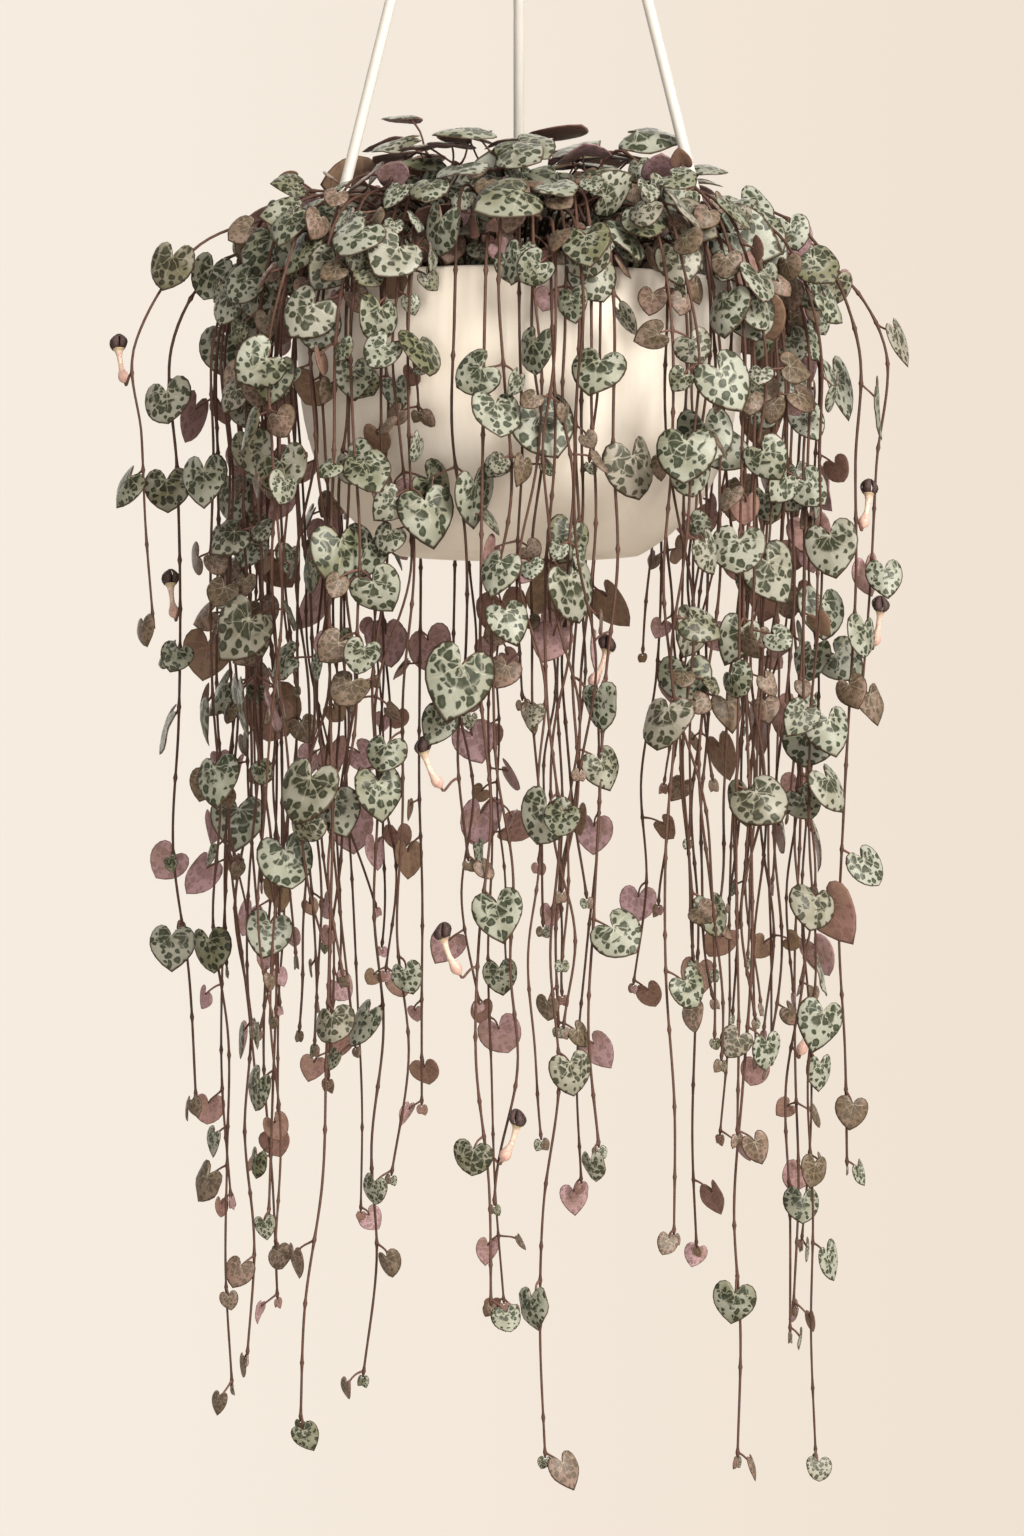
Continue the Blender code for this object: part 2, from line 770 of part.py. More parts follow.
def grow_flower(route, index, azimuth, side, own, others):
    """The first turn of the flower that is clear of its neighbours, or none."""
    sideways = stem_frame(route, index, azimuth)[1]
    outward = polar(azimuth, 1, 0)
    for turn in FLOWER_TURNS:
        angle = math.radians(turn)
        toward = sideways * side * math.cos(angle) + outward * math.sin(angle)
        for leaning in FLOWER_LEANS:
            work = bmesh.new()
            place = (route[index], toward, leaning)
            add_flower(work, place, LEAF_CLEARANCE)
            guard = tree_of(work)
            if not any(guard.overlap(tree) for tree in others + own):
                return place
    return None


def turned_tree(profile, steps=24):
    """A closed turned shape, for keeping the plant clear of it."""
    work = bmesh.new()
    rings = []
    for radius, height in profile:
        angles = [360 * i / steps for i in range(steps)]
        rings.append([work.verts.new(polar(angle, radius, height)) for angle in angles])
    for low, high in zip(rings, rings[1:]):
        for i in range(steps):
            j = (i + 1) % steps
            work.faces.new((low[i], low[j], high[j], high[i]))
    return tree_of(work)


def keep_out():
    """What the plant grows round: the bowl with its soil, the rods and their clips."""
    wall = RIM_RADIUS - WALL - SOIL_MARGIN
    under = RIM_Z - POT_HEIGHT - SOIL_MARGIN
    tip = 0.0005
    bowl = [(r, soil_top(r) + SOIL_MARGIN) for r in (tip, 0.030, 0.055, wall - tip)]
    bowl += [(wall, RIM_Z), (RIM_RADIUS - WALL / 2, RIM_Z + 0.0010), (RIM_RADIUS + BOWL_MARGIN, RIM_Z)]
    for depth in (0.004, 0.030, 0.055, 0.070, 0.082, 0.092):
        bowl.append((bowl_radius(depth, 0) + BOWL_MARGIN, RIM_Z - depth))
    bowl += [(BASE_RADIUS + 0.009, under), (tip, under)]
    trees = [turned_tree(bowl)]
    foot = arm_foot()
    flared = foot + FLARE_LENGTH * arm_direction()
    top = Vector((ARM_TOP_RADIUS, 0, ARM_TOP_Z))
    runs = (
        (foot, flared, FLARE_KEEP_OUT),
        (flared, top, ROD_KEEP_OUT),
        (foot - CLIP_HEIGHT * UP, foot + 0.001 * UP, CLIP_KEEP_OUT),
    )
    for azimuth in ARM_AZIMUTHS:
        turn = Matrix.Rotation(math.radians(azimuth), 4, "Z")
        for start, end, radius in runs:
            work = bmesh.new()
            line = end - start
            lie = UP.rotation_difference(line).to_matrix().to_4x4()
            bmesh.ops.create_cone(
                work, cap_ends=True, segments=8, radius1=radius, radius2=radius, depth=line.length,
                matrix=turn @ Matrix.Translation((start + end) / 2) @ lie,
            )
            trees.append(tree_of(work))
    return trees


def grow_plant():
    """Places every leaf and flower: stems first, so that each is clear of all the stems."""
    stems = plant_routes()
    fixed = keep_out()
    plans = {}
    trees = {}
    corners = {}
    for order, (name, azimuth, route) in enumerate(stems):
        nodes = leaf_nodes(route, azimuth)
        if name.startswith("vine"):
            kept = [i for k, i in enumerate(nodes) if k % LEAF_EVERY == order % LEAF_EVERY]
            nodes = kept + [nodes[-1]] * (nodes[-1] not in kept)
        blooms = {}
        for at, drop, side in FLOWERS:
            if at == azimuth and name.startswith("vine"):
                index = node_below_rim(route, drop / 1000)
                index += 4 * any(abs(index - other) < 3 for other in nodes)
                blooms[index] = side
        plans[name] = (nodes, blooms)
        work = bmesh.new()
        faces = add_stem(work, route, azimuth, {*nodes, *blooms}, 0)
        corners[name] = {key: [corner.co.copy() for corner in quad] for key, quad in faces.items()}
        for quad in faces.values():
            work.faces.new(quad)
        trees[name] = [tree_of(work)]
    places = {name: {} for name, _, _ in stems}

    def others_of(name):
        return fixed + [tree for other in trees if other != name for tree in trees[other]]

    for name, azimuth, route in stems:
        for index, side in plans[name][1].items():
            place = grow_flower(route, index, azimuth, side, trees[name][1:], others_of(name))
            if place:
                places[name][index, side] = place
                work = bmesh.new()
                add_flower(work, place, 0)
                trees[name].append(tree_of(work))
    for name, azimuth, route in stems:
        for k, index in enumerate(plans[name][0]):
            side = 1 if k % 2 else -1
            for growing in (side, -side):
                base = corners[name][index, growing]
                others = others_of(name)
                place = grow_leaf(route, index, azimuth, growing, name, base, trees[name], others)
                if place:
                    places[name][index, growing] = place
                    trees[name].append(tree_of(leaf_shape(place, base, 0)))
                    break
    return stems, plans, places


def make_plant(collection, material):
    stems, plans, places = grow_plant()
    for name, azimuth, route in stems:
        nodes, blooms = plans[name]
        work = bmesh.new()
        faces = add_stem(work, route, azimuth, {*nodes, *blooms}, 0)
        for key, quad in faces.items():
            place = places[name].get(key)
            if place is None:
                work.faces.new(quad)
            elif key[0] in blooms:
                add_flower(work, place, 0, quad)
            else:
                notch = add_blade(work, place, 0)
                loft(work, quad, notch)
        add_object(name, mesh_from(work, name), collection, material)
    return sum(len(grown) for grown in places.values())


def main():
    clear_scene()
    parts = make_collection(OBJECT_NAME)
    soil_cutters = make_collection("soil_cutters")
    hub_cutters = make_collection("hub_cutters")
    clip_cutters = make_collection("clip_cutters")
    scratch = make_collection("scratch")
    bowl_plastic = make_material("bowl plastic", (0.80, 0.76, 0.68), 0.45)
    hanger_plastic = make_material("hanger plastic", (0.86, 0.85, 0.82), 0.40)
    potting_soil = make_material("potting soil", (0.07, 0.045, 0.03), 0.95)
    vine_green = make_material("vine green", (0.22, 0.30, 0.22), 0.50)
    make_pot(parts, bowl_plastic)
    make_soil(parts, soil_cutters, potting_soil)
    make_hook(parts, hub_cutters, scratch, hanger_plastic)
    make_arms(parts, clip_cutters, scratch, hanger_plastic)
    print(make_plant(parts, vine_green), "leaves and flowers")


main()
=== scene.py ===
import math
import random

import bmesh
import bpy
import numpy as np
from mathutils import Matrix, Vector
from mathutils.bvhtree import BVHTree


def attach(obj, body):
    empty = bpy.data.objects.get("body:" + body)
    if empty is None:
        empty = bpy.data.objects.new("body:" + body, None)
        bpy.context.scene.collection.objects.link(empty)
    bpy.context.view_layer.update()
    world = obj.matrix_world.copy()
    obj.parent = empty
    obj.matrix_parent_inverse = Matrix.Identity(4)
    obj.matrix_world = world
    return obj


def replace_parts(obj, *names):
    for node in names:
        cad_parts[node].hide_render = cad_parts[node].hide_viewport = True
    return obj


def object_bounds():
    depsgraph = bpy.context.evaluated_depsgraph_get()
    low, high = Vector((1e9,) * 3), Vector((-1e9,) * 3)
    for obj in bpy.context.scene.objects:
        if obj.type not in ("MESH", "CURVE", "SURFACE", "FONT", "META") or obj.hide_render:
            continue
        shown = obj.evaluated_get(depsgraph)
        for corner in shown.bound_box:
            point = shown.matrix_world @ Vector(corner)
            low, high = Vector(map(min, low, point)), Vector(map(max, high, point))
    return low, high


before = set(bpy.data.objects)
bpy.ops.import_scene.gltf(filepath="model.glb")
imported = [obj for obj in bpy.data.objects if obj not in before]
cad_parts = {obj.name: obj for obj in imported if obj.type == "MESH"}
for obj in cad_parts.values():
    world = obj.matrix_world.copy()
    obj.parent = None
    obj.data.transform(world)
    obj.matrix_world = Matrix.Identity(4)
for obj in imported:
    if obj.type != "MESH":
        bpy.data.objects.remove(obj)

cad_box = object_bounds()

# The view: a level camera in front of the pot, as the photograph was taken. One pixel of the
# photograph is 0.36 mm at the pot's middle, which stands at pixel 519 across.
PHOTO_SIZE = (1024, 1536)
METRES_PER_PIXEL = 0.00036
POT_PIXEL = 519
EYE_DISTANCE = 1.72
EYE_HEIGHT = -0.503
SENSOR = 0.036


def linked(name, data):
    """A new object in the scene that shows this data."""
    made = bpy.data.objects.new(name, data)
    bpy.context.scene.collection.objects.link(made)
    return made


photo_camera = bpy.data.cameras.new("photo_camera")
photo_camera.sensor_width = SENSOR * 1000
photo_camera.lens = 1000 * SENSOR * EYE_DISTANCE / (PHOTO_SIZE[1] * METRES_PER_PIXEL)
photo_camera.clip_end = 20
camera = linked("photo_camera", photo_camera)
camera.location = ((PHOTO_SIZE[0] / 2 - POT_PIXEL) * METRES_PER_PIXEL, -EYE_DISTANCE, EYE_HEIGHT)
camera.rotation_euler = (math.pi / 2, 0, 0)
bpy.context.scene.camera = camera
bpy.context.scene.view_settings.view_transform = "Standard"


# The bowl: off-white plastic, moulded in one piece with a thin rolled lip and a shallow foot. Its
# outside has a soft brushed finish with faint clouds in it.
RIM_Z = -0.330
RIM_RADIUS = 0.080
POT_HEIGHT = 0.097
BOWL_CLOSES_AT = 0.1068
BOWL_POWER = 3.4
WALL = 0.0026
FLOOR = 0.0030
LIP_DROP = 0.003
LIP_RISE = 0.0014
BASE_RADIUS = 0.031
BASE_RECESS = 0.0008
BOWL_STEPS = 128
BOWL_SHADES = ((0.72, 0.65, 0.56), (0.79, 0.74, 0.675))
CLOUD_SIZE = 0.05


def bowl_radius(depth, inset):
    """The bowl's radius at a depth below its rim, drawn in by inset all round."""
    share = depth / (BOWL_CLOSES_AT - inset)
    return (RIM_RADIUS - inset) * math.sqrt(1 - share**BOWL_POWER)


def bowl_depths(first, last, count):
    """Depths along the bowl's side, closer together where it rounds in to the base."""
    return [first + (last - first) * math.sin(0.5 * math.pi * i / count) for i in range(count + 1)]


def turned(name, profile, steps):
    """A closed smooth shape turned round Z, from (radius, height) pairs that start and end on it."""
    mesh = bpy.data.meshes.new(name)
    points = [(radius, 0, height) for radius, height in profile]
    mesh.from_pydata(points, [(i, i + 1) for i in range(len(points) - 1)], [])
    body = linked(name, mesh)
    screw = body.modifiers.new("Turn", "SCREW")
    screw.steps = screw.render_steps = steps
    screw.use_merge_vertices = True
    screw.merge_threshold = 0.00001
    screw.use_smooth_shade = True
    return body


def put(tree, kind, inputs=(), **options):
    """A node with these options. Its inputs are values, or the outputs of other nodes."""
    node = tree.nodes.new(kind)
    for key, value in options.items():
        setattr(node, key, value)
    for key, value in dict(inputs).items():
        if isinstance(value, bpy.types.NodeSocket):
            tree.links.new(value, node.inputs[key])
        else:
            node.inputs[key].default_value = value
    return node


def maths(tree, operation, first, second=0.0):
    return put(tree, "ShaderNodeMath", {0: first, 1: second}, operation=operation).outputs[0]


def times(tree, first, second):
    return maths(tree, "MULTIPLY", first, second)


def plus(tree, first, second):
    return maths(tree, "ADD", first, second)


def ramp(tree, value, low, high, to_low=0.0, to_high=1.0):
    """A smooth step of the value from low to high."""
    inputs = {0: value, 1: low, 2: high, 3: to_low, 4: to_high}
    return put(tree, "ShaderNodeMapRange", inputs, interpolation_type="SMOOTHSTEP").outputs[0]


def mixed(tree, share, first, second):
    """Two colours mixed by a share."""
    first, second = [c if isinstance(c, bpy.types.NodeSocket) else (*c, 1) for c in (first, second)]
    return put(tree, "ShaderNodeMix", {0: share, 6: first, 7: second}, data_type="RGBA").outputs[2]


def vectors(tree, operation, first, second):
    return put(tree, "ShaderNodeVectorMath", {0: first, 1: second}, operation=operation).outputs[0]


def noise(tree, place, scale, detail, output=0):
    inputs = {"Vector": place, "Scale": scale, "Detail": detail}
    return put(tree, "ShaderNodeTexNoise", inputs).outputs[output]


def own_place(tree):
    """Where a point lies on its own piece."""
    return put(tree, "ShaderNodeTexCoord").outputs["Object"]


def new_material(name, **constants):
    """A material, and its tree and shader. Constants go on the shader's own sockets."""
    material = bpy.data.materials.new(name)
    material.use_nodes = True
    tree = material.node_tree
    shader = tree.nodes["Principled BSDF"]
    for key, value in constants.items():
        shader.inputs[key.replace("_", " ")].default_value = value
    return material, tree, shader


def finish(tree, shader, colour, relief, strength, distance, rough=None):
    """Gives the shader its colour, its fine relief and, where it varies, its roughness."""
    bump = put(tree, "ShaderNodeBump", {"Strength": strength, "Distance": distance, "Height": relief})
    for key, source in (("Base Color", colour), ("Normal", bump.outputs[0]), ("Roughness", rough)):
        if source:
            tree.links.new(source, shader.inputs[key])


def new_group(name, inputs, outputs):
    """A node group with inputs of these kinds and number outputs, and its own start and end."""
    group = bpy.data.node_groups.new(name, "ShaderNodeTree")
    for label, kind in inputs.items():
        group.interface.new_socket(label, in_out="INPUT", socket_type=f"NodeSocket{kind}")
    for label in outputs:
        group.interface.new_socket(label, in_out="OUTPUT", socket_type="NodeSocketFloat")
    return group, group.nodes.new("NodeGroupInput").outputs, group.nodes.new("NodeGroupOutput").inputs


def cloudy_group():
    """Soft clouds and fine vertical brush marks, for moulded plastic with a brushed finish."""
    sockets = {"Place": "Vector", "Cloud Size": "Float"}
    group, start, end = new_group("brushed_clouds", sockets, ("Clouds", "Brush"))
    clouds = noise(group, start[0], maths(group, "DIVIDE", 1.0, start[1]), 3.0)
    squash = vectors(group, "MULTIPLY", start[0], (1, 1, 0.12))
    group.links.new(clouds, end[0])
    group.links.new(noise(group, squash, 420.0, 4.0), end[1])
    return group


brushed_clouds = cloudy_group()


def plastic(name, shades, cloudiness, **constants):
    """Moulded plastic whose colour drifts between two close shades."""
    material, tree, shader = new_material(name, **constants)
    inputs = {0: own_place(tree), 1: CLOUD_SIZE}
    clouds, strokes = put(tree, "ShaderNodeGroup", inputs, node_tree=brushed_clouds).outputs
    drift = times(tree, ramp(tree, clouds, 0.5 - cloudiness, 0.5 + cloudiness), 0.8)
    streaks = times(tree, ramp(tree, strokes, 0.35, 0.65), 0.2)
    rough = ramp(tree, strokes, 0.3, 0.7, 0.44, 0.58)
    finish(tree, shader, mixed(tree, plus(tree, drift, streaks), *shades), strokes, 0.25, 0.0002, rough)
    return material


inside = [(bowl_radius(d, WALL), RIM_Z - d) for d in bowl_depths(LIP_DROP, POT_HEIGHT - FLOOR, 18)]
outside = [(bowl_radius(d, 0), RIM_Z - d) for d in bowl_depths(LIP_DROP, POT_HEIGHT - 0.0006, 22)]
lip = []
for i in range(1, 8):
    turn = math.pi * i / 8
    radius = RIM_RADIUS - WALL / 2 - math.cos(turn) * WALL / 2
    lip.append((radius, RIM_Z - LIP_RISE + LIP_RISE * math.sin(turn)))
foot_z = RIM_Z - POT_HEIGHT
foot = [
    (BASE_RADIUS + 0.006, foot_z), (BASE_RADIUS + 0.001, foot_z), (BASE_RADIUS, foot_z + 0.0002),
    (BASE_RADIUS - 0.0006, foot_z + BASE_RECESS), (0, foot_z + BASE_RECESS),
]
bowl_profile = [(0, RIM_Z - POT_HEIGHT + FLOOR)] + inside[::-1] + lip + outside + foot
bowl = turned("bowl", bowl_profile, BOWL_STEPS)
bowl.data.materials.append(plastic("bowl_plastic", BOWL_SHADES, 0.25, Specular_IOR_Level=0.35))
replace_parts(bowl, "pot")
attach(bowl, "root")


# The soil: dark, crumbly potting mix heaped a little in the middle, with bark chips, fibres and
# a few white grains of perlite lying on it.
SOIL_DEPTH = 0.013
SOIL_MOUND = 0.006
SOIL_GAP = 0.0003
SOIL_RINGS = 40
SOIL_STEPS = 110
CALM_EDGE = 0.004
CRUMBS = 420
CRUMB_SIZES = (0.0008, 0.0011, 0.0016, 0.0024)
CRUMB_STRETCH = ((0.7, 1.9), (0.6, 1.1), (0.35, 0.7))
CRUMB_DENTS = 0.22
LARGEST_PERLITE = 0.002
PERLITE_SHARE = 0.10


def soil_top(radius):
    """Height of the soil's surface, which is mounded a little in the middle."""
    edge = RIM_RADIUS - WALL
    return RIM_Z - SOIL_DEPTH + SOIL_MOUND * (1 - (radius / edge) ** 2)


def lumpy(x, y):
    """Lumps of the soil's surface, from crossed waves of unlike lengths."""
    coarse = math.sin(210 * x + 1.3) * math.cos(190 * y)
    coarse += math.sin(330 * (x + y)) * math.cos(290 * (x - y) + 2)
    fine = math.sin(720 * x + 260 * y) * math.cos(655 * y - 190 * x + 1)
    return 0.0005 * coarse + 0.0003 * fine


def scatter(rng, amount):
    """A random offset, up to this amount each way."""
    return Vector((rng.uniform(-1, 1), rng.uniform(-1, 1), rng.uniform(-1, 1))) * amount


def shaped(name, work):
    """An object with the worked shape, which is freed."""
    mesh = bpy.data.meshes.new(name)
    work.to_mesh(mesh)
    work.free()
    return linked(name, mesh)


def add_crumb(work, edge, rng):
    """A crumb of bark, or a smaller grain of perlite, that lies in the surface."""
    radius, turn = (edge - CALM_EDGE) * math.sqrt(rng.random()), rng.uniform(0, 2 * math.pi)
    size = rng.choice(CRUMB_SIZES)
    stretch = Vector([rng.uniform(*limits) for limits in CRUMB_STRETCH]) * size
    spin = Matrix.Rotation(rng.uniform(0, 6.3), 3, "Z") @ Matrix.Rotation(rng.uniform(-0.4, 0.4), 3, "X")
    place = Vector((radius * math.cos(turn), radius * math.sin(turn), soil_top(radius) + 0.3 * size))
    matrix = Matrix.LocRotScale(place, spin, stretch)
    made = bmesh.ops.create_icosphere(work, subdivisions=1, radius=1, matrix=matrix)
    perlite = size < LARGEST_PERLITE and rng.random() < PERLITE_SHARE
    for vertex in made["verts"]:
        vertex.co += scatter(rng, CRUMB_DENTS) * size
    for face in {face for vertex in made["verts"] for face in vertex.link_faces}:
        face.material_index = 1 if perlite else 0


def make_soil():
    work = bmesh.new()
    edge = bowl_radius(SOIL_DEPTH, WALL + SOIL_GAP)
    turns = [2 * math.pi * j / SOIL_STEPS for j in range(SOIL_STEPS)]
    rings = []
    for i in range(1, SOIL_RINGS + 1):
        radius = edge * i / SOIL_RINGS
        calm = min(1.0, (edge - radius) / CALM_EDGE)
        spots = [(radius * math.cos(t), radius * math.sin(t)) for t in turns]
        rings.append([work.verts.new((x, y, soil_top(radius) + lumpy(x, y) * calm)) for x, y in spots])
    last = POT_HEIGHT - FLOOR - SOIL_GAP
    for depth in bowl_depths(SOIL_DEPTH + 0.001, last, 10):
        radius = bowl_radius(depth, WALL + SOIL_GAP)
        spots = [(radius * math.cos(t), radius * math.sin(t)) for t in turns]
        rings.append([work.verts.new((x, y, RIM_Z - depth)) for x, y in spots])
    top = work.verts.new((0, 0, soil_top(0) + lumpy(0, 0)))
    bottom = work.verts.new((0, 0, RIM_Z - last))
    for j in range(SOIL_STEPS):
        k = (j + 1) % SOIL_STEPS
        work.faces.new((top, rings[0][j], rings[0][k]))
        work.faces.new((bottom, rings[-1][k], rings[-1][j]))
        for low, high in zip(rings, rings[1:]):
            work.faces.new((low[j], high[j], high[k], low[k]))
    rng = random.Random("crumbs")
    for _ in range(CRUMBS):
        add_crumb(work, edge, rng)
    return shaped("soil_heap", work)


potting_mix, tree, shader = new_material("potting_mix", Roughness=0.95, Specular_IOR_Level=0.2)
place = own_place(tree)
grit = noise(tree, place, 700.0, 6.0)
damp = ramp(tree, noise(tree, place, 60.0, 2.0), 0.4, 0.7)
crumbs = mixed(tree, ramp(tree, grit, 0.35, 0.68), (0.012, 0.008, 0.005), (0.085, 0.050, 0.030))
finish(tree, shader, mixed(tree, damp, crumbs, (0.02, 0.012, 0.008)), grit, 0.8, 0.0006)
perlite, tree, shader = new_material("perlite", Roughness=0.9)
pores = noise(tree, own_place(tree), 1600.0, 3.0)
finish(tree, shader, mixed(tree, pores, (0.34, 0.31, 0.27), (0.72, 0.70, 0.65)), pores, 0.6, 0.0003)
soil = make_soil()
soil.data.materials.append(potting_mix)
soil.data.materials.append(perlite)
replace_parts(soil, "soil")
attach(soil, "root")


# The hanger: three white plastic rods, each moulded with a clip that straddles the rim, run up
# into a hub whose open hook hangs on the ceiling.
HOOK_WIRE = 0.0045
HOOK_INSIDE = 0.0122
HUB_RADIUS = 0.0105
HUB_TOP = -0.049
HUB_BOTTOM = -0.066
HUB_CROWN = 0.003
HUB_EDGE = 0.001
ARM_AZIMUTHS = (90, 210, 330)
ARM_WIRE = 0.0040
RIM_GAP = 0.0003
CLIP_WIDTH = 0.0085
CLIP_HEIGHT = 0.0110
CLIP_CROWN = 0.0035
CLIP_SIDE = 0.0018
CLIP_INNER_GAP = 0.0008
CLIP_ROUNDING = 0.00055
FLARE_LENGTH = 0.016
FLARE_FOOT = 1.8
FLARE_POWER = 1.6
HANGER_SHADES = ((0.48, 0.455, 0.42), (0.545, 0.525, 0.49))

# A rod's axis in the XZ plane, from the top of its clip into the hub
ARM_FOOT = Vector((RIM_RADIUS - WALL / 2, 0, RIM_Z + RIM_GAP + CLIP_CROWN))
ARM_TOP = Vector((0.0050, 0, -0.0575))
ARM_LINE = (ARM_TOP - ARM_FOOT).normalized()


def square(vector, axis):
    """The vector's direction, turned square to the axis."""
    return (vector - axis * vector.dot(axis)).normalized()


def tube(path, radii, sides):
    """A round tube along the path, with a radius at each point: its points and its triangles."""
    points = []
    across = None
    for i, (middle, radius) in enumerate(zip(path, radii)):
        along = (path[min(i + 1, len(path) - 1)] - path[max(i - 1, 0)]).normalized()
        across = across or along.orthogonal()
        across = square(across, along)
        beside = along.cross(across)
        for j in range(sides):
            turn = 2 * math.pi * j / sides
            points.append(middle + radius * (math.cos(turn) * across + math.sin(turn) * beside))
    faces = []
    for i in range(len(path) - 1):
        for j in range(sides):
            a, b = i * sides + j, i * sides + (j + 1) % sides
            faces += [(a, b, b + sides), (a, b + sides, a + sides)]
    end = len(points) - sides
    faces += [(0, j + 1, j) for j in range(1, sides - 1)]
    faces += [(end, end + j, end + j + 1) for j in range(1, sides - 1)]
    return points, faces


def smoothed(points, spacing):
    """A smooth curve through the points, as closely spaced points."""
    padded = [2 * points[0] - points[1], *points, 2 * points[-1] - points[-2]]
    dense = []
    for a, b, c, d in zip(padded, padded[1:], padded[2:], padded[3:]):
        count = max(2, round((c - b).length / spacing))
        for i in range(count):
            t = i / count
            bend = (2 * a - 5 * b + 4 * c - d) * t * t + (3 * b - a - 3 * c + d) * t**3
            dense.append(0.5 * (2 * b + (c - a) * t + bend))
    dense.append(points[-1])
    return dense


def joined(body, path, radii, sides):
    """One skin round a body and a rod that sticks in it, smooth except at sharp edges."""
    points, faces = tube(path, radii, sides)
    mesh = bpy.data.meshes.new("rod")
    mesh.from_pydata(points, [], faces)
    mesh.shade_smooth()
    mesh.materials.append(hanger_plastic)
    rod = linked("rod", mesh)
    union = body.modifiers.new("Union", "BOOLEAN")
    union.operation = "UNION"
    union.object = rod
    bpy.context.view_layer.update()
    mesh = bpy.data.meshes.new_from_object(body.evaluated_get(bpy.context.evaluated_depsgraph_get()))
    body.modifiers.clear()
    body.data = mesh
    bpy.data.objects.remove(rod, do_unlink=True)
    mesh.shade_smooth()
    mesh.set_sharp_from_angle(angle=math.radians(32))
    mesh.materials.clear()
    mesh.materials.append(hanger_plastic)


hanger_plastic = plastic("hanger_plastic", HANGER_SHADES, 0.3, Specular_IOR_Level=0.4)
hub_profile = [(0, HUB_TOP + 0.002), (0.5 * HUB_RADIUS, HUB_TOP + 0.0012)]
x, z = HUB_RADIUS - HUB_CROWN, HUB_TOP - HUB_CROWN
for i in range(7):
    turn = 0.5 * math.pi * i / 6
    hub_profile.append((x + HUB_CROWN * math.sin(turn), z + HUB_CROWN * math.cos(turn)))
x, z = HUB_RADIUS - HUB_EDGE, HUB_BOTTOM + HUB_EDGE
for i in range(5):
    turn = 0.5 * math.pi * i / 4
    hub_profile.append((x + HUB_EDGE * math.cos(turn), z - HUB_EDGE * math.sin(turn)))
hub_profile.append((0, HUB_BOTTOM))
hook = turned("hook_and_hub", hub_profile, 64)
hook_path = [
    Vector((0, 0, HUB_TOP - 0.006)), Vector((0, 0, -0.0415)),
    Vector((0.0012, 0, -0.0365)), Vector((0.0052, 0, -0.0315)),
]
for angle in range(-42, 211, 28):
    turn = math.radians(angle)
    reach = HOOK_INSIDE + HOOK_WIRE / 2
    hook_path.append(Vector((reach * math.cos(turn), 0, reach * math.sin(turn) - HOOK_INSIDE)))
hook_line = smoothed(hook_path, 0.0008)
hook_radii = [HOOK_WIRE / 2] * len(hook_line)
hook_radii[-3:] = [0.97 * HOOK_WIRE / 2, 0.8 * HOOK_WIRE / 2, 0.45 * HOOK_WIRE / 2]
joined(hook, hook_line, hook_radii, 20)
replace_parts(hook, "hook")
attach(hook, "root")


def bridge(work, low, high):
    """Quads between two closed rings of as many points."""
    for i in range(len(low)):
        j = (i + 1) % len(low)
        work.faces.new((low[i], low[j], high[j], high[i]))


def clip_object():
    """The clip: an upturned U with rounded edges, which sits over the rim."""
    inner = bowl_radius(LIP_DROP, WALL) - CLIP_INNER_GAP - CLIP_SIDE
    outer = RIM_RADIUS + RIM_GAP + CLIP_SIDE
    low, high, roof = ARM_FOOT.z - CLIP_HEIGHT, ARM_FOOT.z, RIM_Z + RIM_GAP
    outline = [
        (inner, low), (inner, high), (outer, high), (outer, low),
        (outer - CLIP_SIDE, low), (outer - CLIP_SIDE, roof),
        (inner + CLIP_SIDE, roof), (inner + CLIP_SIDE, low),
    ]
    work = bmesh.new()
    near = [work.verts.new((x, -CLIP_WIDTH / 2, z)) for x, z in outline]
    far = [work.verts.new((x, CLIP_WIDTH / 2, z)) for x, z in outline]
    work.faces.new(near[::-1])
    work.faces.new(far)
    bridge(work, near, far)
    bmesh.ops.recalc_face_normals(work, faces=work.faces)
    edges = work.edges[:]
    bmesh.ops.bevel(work, geom=edges, offset=CLIP_ROUNDING, segments=2, affect="EDGES", profile=0.5)
    return shaped("rim_clip", work)


rod_path = [ARM_FOOT - 0.002 * ARM_LINE]
rod_radii = [FLARE_FOOT * ARM_WIRE / 2]
for i in range(9):
    share = i / 8
    rod_path.append(ARM_FOOT + (0.001 + share * FLARE_LENGTH) * ARM_LINE)
    rod_radii.append(ARM_WIRE / 2 * (1 + (FLARE_FOOT - 1) * (1 - share) ** FLARE_POWER))
for i in range(1, 25):
    rod_path.append(rod_path[9].lerp(ARM_TOP, i / 24))
    rod_radii.append(ARM_WIRE / 2)
rod_shape = clip_object()
joined(rod_shape, rod_path, rod_radii, 24)
for azimuth in ARM_AZIMUTHS:
    arm = linked(f"rod_{azimuth}", rod_shape.data.copy())
    arm.rotation_euler.z = math.radians(azimuth)
    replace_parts(arm, f"arm_{azimuth}")
    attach(arm, "root")
bpy.data.objects.remove(rod_shape, do_unlink=True)


# The vines: thin wiry stems that root in the soil, climb over the rim and hang straight down all
# round the pot, in front in three bunches. Short shoots fill the crown.
UP = Vector((0, 0, 1))
ROOT_DEPTH = 0.011
STEM_RADIUS = 0.0010
STEM_TIP_RADIUS = 0.00085
NODE_LENGTH = 0.0012
NODE_SPACING = (0.025, 0.031)
FIRST_NODE = 0.020
SWAY = 0.0035
ROUTE_SPACING = 0.002
HANG_START = 0.022
HANG_SPACING = 0.045
HANG_TUCK = 0.006
STEM_BEND = 24
STEM_CORNERS = (90, 210, 330)

